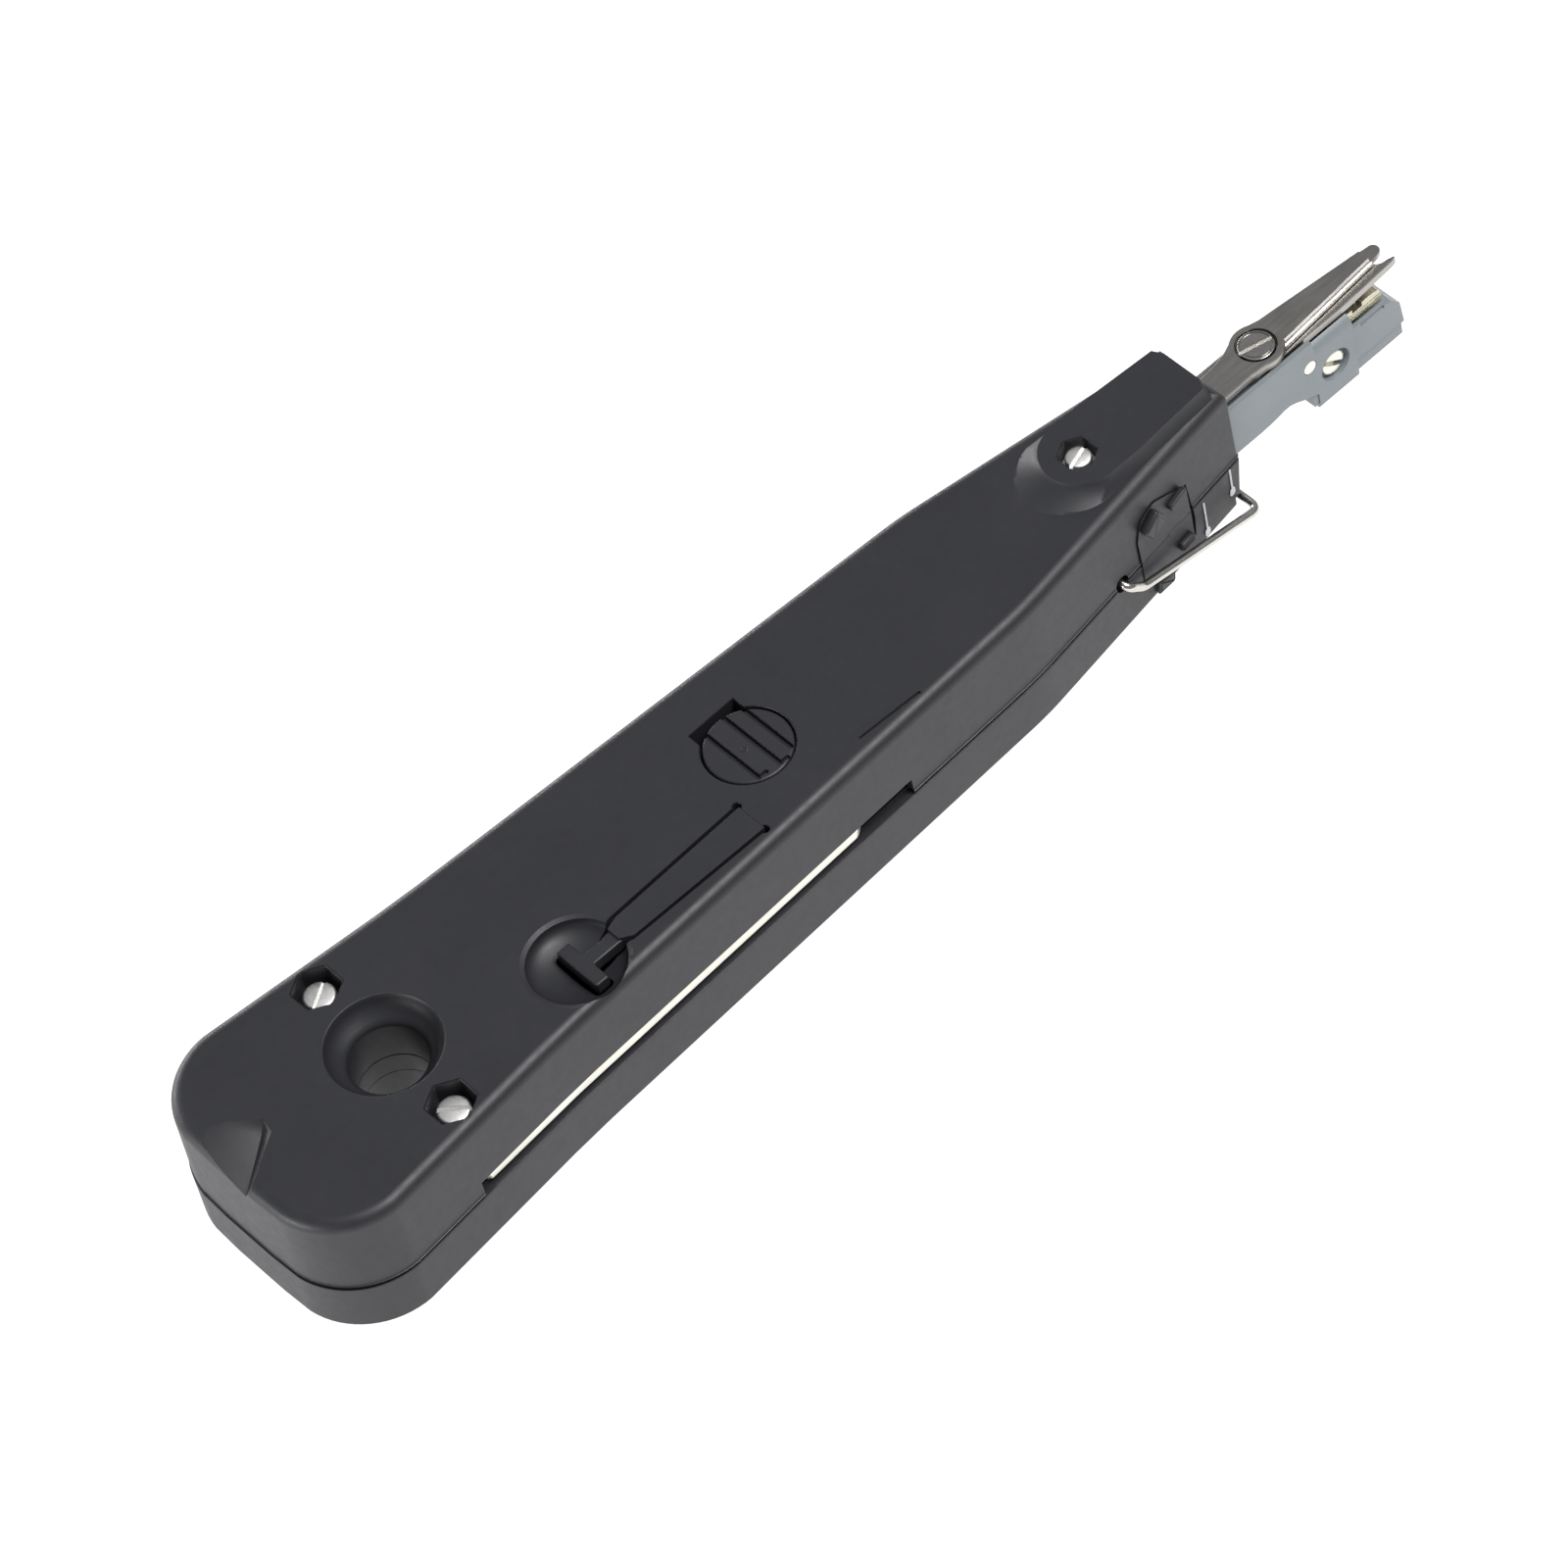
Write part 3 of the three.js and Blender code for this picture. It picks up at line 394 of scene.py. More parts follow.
def soften(thing, width, segments=2, angle=35):
    """Rounds the sharp edges of a finished solid."""
    flat = thing.modifiers.new("flat", "DECIMATE")
    flat.decimate_type = "DISSOLVE"
    flat.angle_limit = math.radians(1)
    bevel = thing.modifiers.new("soften", "BEVEL")
    bevel.width = width
    bevel.segments = segments
    bevel.limit_method = "ANGLE"
    bevel.angle_limit = math.radians(angle)
    bevel.use_clamp_overlap = True
    return applied(thing)


def finish_piece(thing, name, body, slot, material, *nodes, sharp=32):
    """Names a piece, brings it to metres, shades it and ties it to its body."""
    thing.name = name
    thing.data.name = name
    thing.data.transform(Matrix.Scale(1 / MM, 4))
    thing.data.materials.clear()
    thing.data.materials.append(material)
    shade(thing, sharp)
    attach(thing, body)
    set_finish(thing, slot)
    if nodes:
        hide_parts(*nodes)
    return thing


def shade(thing, sharp):
    thing.data.shade_smooth()
    thing.data.set_sharp_from_angle(angle=math.radians(sharp))
    weigh = thing.modifiers.new("even shading", "WEIGHTED_NORMAL")
    weigh.keep_sharp = True


# ---------- materials ----------
def node_material(name):
    material = bpy.data.materials.new(name)
    material.use_nodes = True
    nodes = material.node_tree.nodes
    links = material.node_tree.links
    shader = nodes["Principled BSDF"]
    coordinates = nodes.new("ShaderNodeTexCoord")
    return material, nodes, links, shader, coordinates.outputs["Object"]


def noise(nodes, links, place, scale, detail=3.0, stretch=(1, 1, 1)):
    """Procedural noise; scale is features per metre."""
    mapping = nodes.new("ShaderNodeMapping")
    mapping.inputs["Scale"].default_value = stretch
    links.new(place, mapping.inputs["Vector"])
    texture = nodes.new("ShaderNodeTexNoise")
    texture.inputs["Scale"].default_value = scale
    texture.inputs["Detail"].default_value = detail
    links.new(mapping.outputs["Vector"], texture.inputs["Vector"])
    return texture.outputs["Fac"]


def ranged(nodes, links, value, low, high):
    """A noise value spread over low to high."""
    spread = nodes.new("ShaderNodeMapRange")
    spread.inputs["From Min"].default_value = 0.3
    spread.inputs["From Max"].default_value = 0.7
    spread.inputs["To Min"].default_value = low
    spread.inputs["To Max"].default_value = high
    links.new(value, spread.inputs["Value"])
    return spread.outputs["Result"]


def tinted(nodes, links, value, dark, light):
    """A colour between dark and light, by a value from 0 to 1."""
    mix = nodes.new("ShaderNodeMix")
    mix.data_type = "RGBA"
    mix.inputs["A"].default_value = (*dark, 1)
    mix.inputs["B"].default_value = (*light, 1)
    links.new(value, mix.inputs["Factor"])
    return mix.outputs["Result"]


def bumped(nodes, links, heights):
    """A chain of bumps; heights is [(value, strength, distance in metres), ...]."""
    normal = None
    for value, strength, distance in heights:
        bump = nodes.new("ShaderNodeBump")
        bump.inputs["Strength"].default_value = strength
        bump.inputs["Distance"].default_value = distance
        links.new(value, bump.inputs["Height"])
        if normal:
            links.new(normal, bump.inputs["Normal"])
        normal = bump.outputs["Normal"]
    return normal


def plastic(name, dark, light, rough, grain):
    """Moulded plastic with a fine spark-eroded grain."""
    material, nodes, links, shader, place = node_material(name)
    fine = noise(nodes, links, place, 5200, 2)
    broad = noise(nodes, links, place, 90, 3)
    patch = ranged(nodes, links, broad, 0, 1)
    links.new(tinted(nodes, links, patch, dark, light), shader.inputs["Base Color"])
    middle_rough = ranged(nodes, links, noise(nodes, links, place, 900, 3), rough - 0.03, rough + 0.03)
    links.new(middle_rough, shader.inputs["Roughness"])
    normal = bumped(nodes, links, [(fine, grain, 0.00002), (broad, 0.15, 0.00002)])
    links.new(normal, shader.inputs["Normal"])
    shader.inputs["Specular IOR Level"].default_value = 0.5
    return material


def metal(name, dark, light, rough, stretch, scratch):
    """Plated or ground metal with fine lines along one direction."""
    material, nodes, links, shader, place = node_material(name)
    lines = noise(nodes, links, place, 2600, 3, stretch)
    broad = noise(nodes, links, place, 240, 4)
    patch = ranged(nodes, links, broad, 0, 1)
    links.new(tinted(nodes, links, patch, dark, light), shader.inputs["Base Color"])
    links.new(ranged(nodes, links, lines, rough - 0.05, rough + 0.07), shader.inputs["Roughness"])
    normal = bumped(nodes, links, [(lines, scratch, 0.00001), (broad, 0.1, 0.00002)])
    links.new(normal, shader.inputs["Normal"])
    shader.inputs["Metallic"].default_value = 1.0
    return material


SHELL = plastic("shell_plastic", (0.018, 0.0185, 0.022), (0.023, 0.0235, 0.028), 0.46, 0.35)
GREY = plastic("head_plastic", (0.21, 0.235, 0.25), (0.24, 0.265, 0.28), 0.42, 0.2)
NICKEL = metal("nickel", (0.60, 0.585, 0.54), (0.68, 0.665, 0.62), 0.2, (1, 1, 1), 0.15)
BRIGHT_NICKEL = metal("bright_nickel", (0.88, 0.87, 0.84), (0.96, 0.95, 0.92), 0.44, (1, 1, 1), 0.2)
IVORY_NICKEL = metal("ivory_nickel", (0.80, 0.78, 0.70), (0.88, 0.86, 0.78), 0.38, (1, 1, 1), 0.2)
SCREW_STEEL = metal("screw_steel", (0.42, 0.405, 0.38), (0.50, 0.485, 0.46), 0.24, (1, 1, 1), 0.2)
SATIN = metal("blade_steel", (0.36, 0.345, 0.32), (0.42, 0.405, 0.38), 0.3, (0.08, 1, 1), 0.25)
SPRING = metal("spring_steel", (0.42, 0.42, 0.41), (0.5, 0.5, 0.49), 0.3, (1, 1, 1), 0.2)
GILT = metal("sensor_metal", (0.50, 0.47, 0.36), (0.62, 0.59, 0.46), 0.28, (0.1, 1, 1), 0.3)
PAINT = plastic("index_paint", (0.55, 0.55, 0.58), (0.7, 0.7, 0.73), 0.5, 0.2)


# ---------- casing ----------
def strap_outline():
    """Plan of the latch strap, its root to the front."""
    return [(ROOT_X, -10.42), (ROOT_X, -6.18), (-33.4, -6.85), (-35.0, -7.35), (-35.0, -9.3), (-33.6, -10.2)]


def tee_outline(room=0.0):
    """Plan of the T at the strap's free end."""
    bar_x0 = -40.85
    bar_x1 = -39.0
    centre = -8.5
    points = [
        (-33.8, centre - 0.95), (-33.8, centre + 0.95), (bar_x1, centre + 0.95), (bar_x1, centre + 3.45),
        (bar_x0, centre + 3.45), (bar_x0, centre - 3.45), (bar_x1, centre - 3.45), (bar_x1, centre - 0.95),
    ]
    return grow(rounded(points, [0, 0, 0.2, 0.25, 0.25, 0.25, 0.25, 0.2], 3), room)


def dish_tool():
    """Finger dish: a narrow chamfer round a bowl."""
    bowl_r = DISH_R - 0.55
    depth = 2.3
    steps = 10
    profile = []
    for k in range(1, steps + 1):
        radius = bowl_r * math.sin(math.pi / 2 * k / steps)
        profile.append((radius, TOP_Z - 0.22 - depth * math.cos(math.pi / 2 * k / steps) ** 0.85))
    profile += [(DISH_R, TOP_Z - 0.02), (DISH_R + 0.05, TOP_Z + 1.5)]
    return rings_of([(0.05, profile[0][1] - 0.02)] + profile, DISH_X, DISH_Y, 72)


def hole_tool():
    """Hanging hole: rounded rim, hollow funnel, rounded throat, straight bore."""
    rim = HOLE_RIM_R
    profile = [
        (HOLE_R, -3.0), (HOLE_R, TOP_Z - 3.3), (HOLE_R + 0.06, TOP_Z - 3.0), (HOLE_R + 0.25, TOP_Z - 2.7),
        (HOLE_R + 0.6, TOP_Z - 2.35), (HOLE_R + 1.1, TOP_Z - 1.95), (rim - 0.75, TOP_Z - 1.45),
        (rim - 0.45, TOP_Z - 1.05), (rim - 0.25, TOP_Z - 0.6), (rim - 0.12, TOP_Z - 0.25),
        (rim - 0.02, TOP_Z - 0.09), (rim + 0.2, TOP_Z), (rim + 0.25, TOP_Z + 1.5),
    ]
    return rings_of(profile, HOLE_X, 0, 96)


def face_tools():
    """Cutters of the features that both faces have, drawn on the top face."""
    through = TOP_Z - 4.0
    tools = [
        hole_tool(),
        dish_tool(),
        well(strap_room(), TOP_Z, through, 0.02, 1),
        well(tee_outline(0.4), TOP_Z - 1.2, through, 0.1),
        well(circle(KNOB_X, KNOB_Y, KNOB_R + 0.2, 96), TOP_Z, 15.9, 0.1),
        well(circle(KNOB_X, KNOB_Y, KNOB_SHAFT_R + 0.3, 48), 16.5, -2.0, 0.05),
        well([(-11.15, 3.1), (-4.1, 2.9), (-4.1, 5.65), (-11.1, 5.5)], TOP_Z, 13.8, 0.06),
    ]
    tools += [well(circle(ROOT_X - 0.1, y, 0.56, 20), TOP_Z, through, 0.06) for y in (-5.95, -10.65)]
    return tools


def strap_room():
    """The strap's plan with the two slots beside it, closed at the root."""
    root = ROOT_X + 0.02
    return [(root, -10.9), (root, -5.7), (-33.9, -6.35), (-36.0, -6.6), (-36.0, -9.9), (-33.9, -10.65)]


def fold_slot(z0, z1):
    """Room that lets a folded tool lie flat and swing out of the right side."""
    hub = cut(
        pad(arc(KNOB_X, KNOB_Y, SWEEP_R, 157, 383, 44), z0, z1),
        block((-40, 5.2, z0 - 1), (20, 30, z1 + 1)),
    )
    side = [
        (SLOT_REAR_X, -(half_width(SLOT_REAR_X) - 2.2)), (SLOT_REAR_X + 0.6, -20), (SLOT_FRONT_X, -20),
        (SLOT_FRONT_X, -8), (-14, -6), (-50, -7.6), (-57, -(half_width(-57) - 2.2)),
    ]
    return join(hub, pad(side, z0, z1))


def inside_band(x0, x1, inset, z0, z1):
    """A room between two cross walls that follows the casing's sides."""
    stops = [x0, WAIST_X, BEND_X - BEND_REACH, BEND_X, BEND_X + BEND_REACH, x1]
    stops = sorted({x for x in stops if x0 <= x <= x1})
    right = [(x, -(half_width(x) - inset)) for x in stops]
    return pad(right + mirrored(right), z0, z1)


def boss():
    """Raised front platform with a hollow flank."""
    front = 61.7
    top_half = 5.0
    foot_r = 9.2
    top = [(front, 2.9), (61.0, 4.3), (50, top_half)]
    top += arc(FRONT_SCREW_X + 0.5, 0, top_half, 90, 180, 20)
    foot = [(FRONT_X - 0.5, 4.2), (FRONT_X - 1.2, half_width(62) - 0.5), (50, half_width(50) - 0.5)]
    foot += arc(FRONT_SCREW_X, 0, foot_r, 125, 180, 20)
    top += mirrored(top)[1:]
    foot += mirrored(foot)[1:]
    vertices = []
    steps = 10
    for k in range(steps + 1):
        drop = 1 - k / steps
        spread = 0.3 * drop + 0.7 * drop ** 2
        for (a, b), (c, d) in zip(top, foot):
            behind = max(0.0, (FRONT_SCREW_X - c) / foot_r)
            depth = 3.2 - 1.25 * behind ** 2
            vertices.append(Vector((a + (c - a) * spread, b + (d - b) * spread, BOSS_Z - depth * drop)))
    return skin(vertices, len(top))


def thumb_tool():
    """Thumb recess at the tail: flush along a soft arc, sinking to a steep wall on the right."""
    apex = Vector((-77.5, 2.6))
    end = Vector((-90.0, -6.0))
    wall = end - apex
    outward = Vector((wall.y, -wall.x)).normalized()
    if outward.y < 0:
        outward = -outward
    columns = 20
    rows = 12
    vertices = []
    for j in range(-1, rows + 1):
        for i in range(columns + 1):
            t = i / columns
            away = max(0, j) / rows
            foot = apex + wall * t
            depth = 2.5 * t ** 0.4
            if j < 0:
                point = foot - outward * 1.25 * min(1, t * 10) * (1.15 - 0.4 * t)
                vertices.append((point.x, point.y, TOP_Z + 0.02))
                continue
            point = foot + outward * 15.0 * (t * (2 - t)) ** 0.5 * away
            vertices.append((point.x, point.y, TOP_Z - depth * (1 - away) ** 1.9 + 0.03 * away))
    return heightfield_tool(vertices, columns + 1, TOP_Z + 1.5)


def heightfield_tool(vertices, count, roof):
    """A closed cutter between a grid of floor points and a flat roof."""
    rows = len(vertices) // count
    total = len(vertices)
    top = [(x, y, roof) for x, y, z in vertices]
    faces = []
    for j in range(rows - 1):
        for i in range(count - 1):
            a = j * count + i
            faces.append((a, a + count, a + count + 1, a + 1))
            faces.append((total + a, total + a + 1, total + a + count + 1, total + a + count))
    edge = list(range(count)) + [r * count + count - 1 for r in range(1, rows)]
    edge += list(range(total - 2, total - count - 1, -1)) + [r * count for r in range(rows - 2, 0, -1)]
    for k, a in enumerate(edge):
        b = edge[(k + 1) % len(edge)]
        faces.append((a, b, total + b, total + a))
    return new_object("shape", vertices + top, faces)


def hexagon(x, y, radius):
    """A hexagon with slightly rounded corners, two of them towards the sides."""
    return rounded(arc(x, y, radius, 90, 390, 5), 0.35, 3)


def bore_groove(low, high):
    """A thin groove round the hanging hole's bore, between two heights."""
    inner = HOLE_R - 0.5
    outer = HOLE_R + 0.5
    return rings_of([(inner, low), (outer, low), (outer, high), (inner, high)], HOLE_X, 0, 96)


def upper_shell():
    low = SEAM_Z + SEAM_GAP / 2
    levels = [(casing_outline(SEAM_EDGE - d), low + i) for i, d in quarter(SEAM_EDGE, 2)]
    levels += [(casing_outline(DRAFT + i), TOP_Z - d) for i, d in quarter(TOP_EDGE, 8)]
    body = join(loft(levels), boss())
    pocket_floor = REAR_HEAD_Z - POCKET_SUNK
    tools = face_tools()
    tools += [
        inside_band(REAR_ROOM_X0, REAR_ROOM_X1, REAR_WALL, low - 1, TOP_Z - REAR_SKIN),
        inside_band(FRONT_ROOM_X0, FRONT_X - NOSE_WALL, SIDE_WALL, low - 1, CEILING_Z),
        block((MOUTH_X0, -MOUTH_HALF, low - 1), (MOUTH_X1, MOUTH_HALF, MOUTH_TOP_Z)),
        fold_slot(low - 1, low + SLOT_DEPTH - 0.05),
        well(capsule((1.6, -9.55), (10.3, -9.95), 0.17, 4), TOP_Z, TOP_Z - 0.35, 0.05),
        thumb_tool(),
        well(hexagon(FRONT_SCREW_X, 0, 2.45), BOSS_Z, 18.4, 0.1),
        bail_tool(),
        slider_groove(),
        bore_groove(low + 2.9, low + 3.1),
    ]
    for y in (REAR_SCREW_Y, -REAR_SCREW_Y):
        shaft_room = circle(HOLE_X, y, SCREW_ROOM_R, 24)
        tools.append(well(hexagon(HOLE_X, y, POCKET_R), TOP_Z, pocket_floor, 0.16))
        tools.append(well(shaft_room, pocket_floor + 0.5, low - 2, 0.05))
    tools.append(well(circle(FRONT_SCREW_X, 0, SCREW_ROOM_R, 24), 19, 15, 0.05))
    body = cut(body, *tools)
    return finish_piece(body, "upper_shell_detail", "casing", "shell_plastic", SHELL, "upper_shell", sharp=28)


def on_right_side(thing):
    """Places a shape drawn flat: X along the right side, Y outward is negative, Z from the seam."""
    place = Matrix.Translation((SLIDER_X, -half_width(SLIDER_X), SEAM_Z))
    return moved(thing, place @ Matrix.Rotation(SIDE_ANGLE, 4, "Z"))


def slider_groove():
    """Narrow gap in front of the lock slider."""
    outline = [(3.85, -5.1), (4.25, -5.0), (4.5, -2.2), (4.4, 0.6), (4.1, 4.5), (3.75, 4.6)]
    return on_right_side(across(outline, -0.6, 0.5))


def bail_tool():
    """Pivot holes of the wire bail, on the seam."""
    return across(circle(BAIL_PIVOT_X, SEAM_Z, BAIL_HOLE_R, 24), -20, 20)


def lower_shell():
    high = SEAM_Z - SEAM_GAP / 2
    levels = [(casing_outline(i, FRONT_LEAN + i), d) for i, d in reversed(quarter(BOTTOM_EDGE, 6))]
    ledge = high - 0.45
    levels += [(casing_outline(i), ledge - d) for i, d in quarter(SEAM_EDGE, 2)]
    levels += [(casing_outline(1.2), ledge), (casing_outline(1.22), high)]
    body = loft(levels)
    tools = [turned_over(tool) for tool in face_tools()]
    to_left_side = Matrix.Translation((0, 0, high)) @ Matrix.Scale(-1, 4, (0, 1, 0))
    slot = moved(fold_slot(-SLOT_DEPTH + 0.05, 1), to_left_side)
    slot.data.flip_normals()
    tools += [
        inside_band(REAR_ROOM_X0, REAR_ROOM_X1, REAR_WALL, REAR_SKIN, high + 1),
        inside_band(FRONT_ROOM_X0, FRONT_X - NOSE_WALL, SIDE_WALL, FLOOR_Z, high + 1),
        block((MOUTH_X0, -MOUTH_HALF, MOUTH_FLOOR_Z), (MOUTH_X1, MOUTH_HALF, high + 1)),
        slot,
        bail_tool(),
        slider_groove(),
        block((BAIL_BAR_X - REBATE, -20, -1), (FRONT_X + 1, 20, BAIL_LOW.z + BAIL_R + 0.9)),
    ]
    for x, y in ((HOLE_X, REAR_SCREW_Y), (HOLE_X, -REAR_SCREW_Y), (FRONT_SCREW_X, 0)):
        tools.append(turned_over(well(rounded(circle(x, -y, 2.6, 6), 0.25, 3), TOP_Z, TOP_Z - 1.9, 0.12)))
        tools.append(pad(circle(x, y, SCREW_ROOM_R, 24), 1, high + 1))
    body = cut(body, *tools)
    body = join(body, pad(circle(FRONT_SCREW_X, 0, 3.2, 32), 1.95, 3.3, 0.1))
    body = cut(body, pad(circle(FRONT_SCREW_X, 0, SCREW_ROOM_R, 24), 1, high + 1))
    return finish_piece(body, "lower_shell_detail", "casing", "shell_plastic", SHELL, "lower_shell", sharp=28)


upper_shell()
lower_shell()

# ---------- fold-out tools and latches ----------
def knob_shape(face, collar, end):
    """Round knob with three grooves across its face, drawn on the top side."""
    rim = [(KNOB_R - i, face - d) for i, d in quarter(0.34, 4)]
    profile = [(KNOB_SHAFT_R, end), (KNOB_SHAFT_R, collar), (KNOB_R - 0.2, collar), (KNOB_R, collar + 0.2)]
    body = rings_of(profile + rim, KNOB_X, KNOB_Y, 96)
    grooves = []
    for x, low, leg in ((-9.7, -4.85, 1.1), (-6.7, -5.2, 1.1), (-4.35, -4.35, 0)):
        grooves.append(well(capsule((x, low), (x, 6), 0.3), face, face - 0.62, 0.07))
        if leg:
            grooves.append(well(capsule((x, low), (x + leg, low), 0.26), face, face - 0.5, 0.06))
    grooves.append(rings_of([(0.05, face - 0.16), (0.34, face - 0.12), (0.5, face + 0.03), (0.5, face + 1)],
                            KNOB_X - 0.75, KNOB_Y, 24))
    return cut(body, *grooves)


def knobs():
    upper = knob_shape(TOP_Z - 0.06, 16.2, HOOK_HIGH.z + 0.1)
    finish_piece(upper, "hook_knob_detail", "hook_arm", "shell_plastic", SHELL, "hook_knob")
    lower = turned_over(knob_shape(TOP_Z - 0.2, 16.8, TOP_Z - BLADE_LOW.z + 0.1))
    finish_piece(lower, "release_knob_detail", "release_arm", "shell_plastic", SHELL, "release_knob")


def tongue_shape():
    """Flush strap with a sunken T at its free end."""
    strap = pad(strap_outline(), TOP_Z - 1.8, TOP_Z, 0.02, 0.15)
    tee = pad(tee_outline(), TOP_Z - 2.05, TOP_Z - 0.45, 0.24, 0.1)
    neck = pad([(-36.2, -9.3), (-34.0, -9.6), (-34.0, -7.2), (-36.2, -7.5)], TOP_Z - 1.7, TOP_Z - 0.5, 0.15)
    return join(strap, neck, tee)


def latches():
    finish_piece(
        tongue_shape(), "latch_tongue_upper_detail", "upper_latch", "shell_plastic", SHELL,
        "latch_tongue_upper",
    )
    finish_piece(
        turned_over(tongue_shape()), "latch_tongue_lower_detail", "lower_latch", "shell_plastic", SHELL,
        "latch_tongue_lower",
    )


def fold_edge(x):
    """Where a folded tool's outer edge lies, just inside the casing's side."""
    return half_width(x) - FOLD_INSET


def hook_outline():
    hub = arc(KNOB_X, KNOB_Y, HUB_R, -20, 150, 24)
    arm = [(-16, -5.2), (-22, -9.2), (-50, 4.2 - fold_edge(-50)), (-55.5, 1.3 - fold_edge(-55.5))]
    barb = [(-61.2, 1.0 - fold_edge(-61.2)), (-62, 1.5 - fold_edge(-62)), (-62.8, 0.9 - fold_edge(-62.8)),
            (-62, 0.2 - fold_edge(-62))]
    edge = [(WAIST_X, -fold_edge(WAIST_X)), (-3.4, -fold_edge(-3.4)), (-1.9, 1.0 - fold_edge(-1.9))]
    return hub + rounded(arm + barb + edge, [0, 2, 2, 1, 0.3, 0.3, 0.3, 0.4, 0, 1, 0], 4)


def release_outline():
    edge = [(-1.9, fold_edge(-1.9) - 1.0), (-3.4, fold_edge(-3.4)), (WAIST_X, fold_edge(WAIST_X)),
            (-58, fold_edge(-58))]
    tip = [(-60.5, fold_edge(-60.5) - 1.1), (-56, fold_edge(-56) - 1.6), (-50, fold_edge(-50) - 4.2)]
    arm = [(-22, 9.2), (-16, 5.2)]
    hub = arc(KNOB_X, -KNOB_Y, HUB_R, 210, 380, 24)
    return rounded(edge + tip + arm, [0, 1, 0, 0.8, 0.2, 1, 1, 2, 0], 4) + hub


def fold_out_tools():
    hook = pad(hook_outline(), HOOK_LOW.z, HOOK_HIGH.z, 0.14, 0.14, 3)
    finish_piece(hook, "hook_detail", "hook_arm", "nickel", IVORY_NICKEL, "hook")
    blade = pad(release_outline(), BLADE_LOW.z, BLADE_HIGH.z, 0.14, 0.14, 3)
    finish_piece(blade, "release_blade_detail", "release_arm", "nickel", NICKEL, "release_blade")


# ---------- lock slider and wire bail ----------
def rib(x, z, length, height, tilt, proud, edge):
    """A block standing proud of the slider, turned by a tilt in degrees, with rounded edges."""
    turn = Matrix.Rotation(math.radians(tilt), 2)
    a = length / 2
    b = height / 2
    level = [(-a, -b), (a, -b), (a, b), (-a, b)]
    corners = [turn @ Vector(p) + Vector((x, z)) for p in level]
    outline = rounded([(c.x, c.y) for c in corners], 0.3, 3)
    return across(outline, -proud, 0.0, edge, 4)


def lock_slider():
    plate = rounded(
        [(3.8, -4.9), (3.8, 4.4), (1.2, 6.0), (-1.6, 7.3), (-4.4, 6.6), (-5.4, 3.8), (-5.4, -4.4),
         (-4.2, -6.7), (-0.4, -6.9)],
        [0.2, 0.3, 1.5, 1.2, 1.2, 1.5, 1.5, 1.0, 1.0], 6,
    )
    body = across(plate, -0.07, 0.0, 0.05, 2)
    body = join(
        body,
        rib(-2.9, 5.1, 3.1, 2.5, 30, 1.15, 0.42),
        rib(1.7, 4.7, 3.0, 1.0, 12, 0.85, 0.22),
        rib(2.0, -3.4, 2.4, 1.3, 0, 0.85, 0.26),
        rib(-2.4, -6.1, 3.0, 2.0, -8, 0.62, 0.5),
    )
    key = block((-0.3, -0.1, -0.3), (1.7, 1.9, 0.3))
    body = join(cut(body, block((-6, -0.26, -0.06), (4, -0.03, 0.06))), key)
    for vertex in body.data.vertices:
        if vertex.co.z > 0:
            vertex.co.y += 0.028 * vertex.co.z
    moved(body, Matrix.Translation((0, -0.03, 0)))
    finish_piece(on_right_side(body), "lock_slider_detail", "lock", "shell_plastic", SHELL, "lock_slider")


def bent_path(points, radii, steps=8):
    """Points of a line whose corners are rounded."""
    path = [Vector(points[0])]
    for i in range(1, len(points) - 1):
        here = Vector(points[i])
        back = Vector(points[i - 1]) - here
        ahead = Vector(points[i + 1]) - here
        reach = min(radii[i - 1] / math.tan(back.angle(ahead) / 2), 0.49 * back.length, 0.49 * ahead.length)
        start = here + back.normalized() * reach
        end = here + ahead.normalized() * reach
        for k in range(steps + 1):
            t = k / steps
            path.append(start * (1 - t) ** 2 + here * 2 * t * (1 - t) + end * t ** 2)
    path.append(Vector(points[-1]))
    return path


def tube(path, radius, sides=20):
    """A round wire along a path."""
    vertices = []
    side = Vector((1, 0, 0))
    for i, point in enumerate(path):
        ahead = (path[min(i + 1, len(path) - 1)] - path[max(i - 1, 0)]).normalized()
        side = (side - ahead * side.dot(ahead)).normalized()
        other = ahead.cross(side)
        for k in range(sides):
            a = 2 * math.pi * k / sides
            vertices.append(point + side * radius * math.cos(a) + other * radius * math.sin(a))
    return skin(vertices, sides)


def wire_bail():
    """A bent wire from pivot to pivot, its bar in front and below."""
    bar_z = BAIL_LOW.z + BAIL_R
    right = [
        (BAIL_PIVOT_X, -7.4, SEAM_Z), (BAIL_PIVOT_X, -9.65, SEAM_Z - 0.1), (BAIL_PIVOT_X + 2.35, -9.6, 5.6),
        (BAIL_BAR_X + 0.15, -8.5, bar_z),
    ]
    left = [(x, -y, z) for x, y, z in reversed(right)]
    path = bent_path(right + left, [1.3, 2.2, 1.5, 1.5, 2.2, 1.3])
    finish_piece(tube(path, BAIL_R), "wire_bail_detail", "bail", "nickel", NICKEL, "wire_bail", sharp=50)


# ---------- head ----------
ALONG = Matrix(((0, 0, 1, 0), (1, 0, 0, 0), (0, 1, 0, 0), (0, 0, 0, 1)))


def along(profile, x0, x1, edge=0.0):
    """A YZ profile pulled along X."""
    return moved(pad(profile, x0, x1, edge, edge, 2), ALONG)


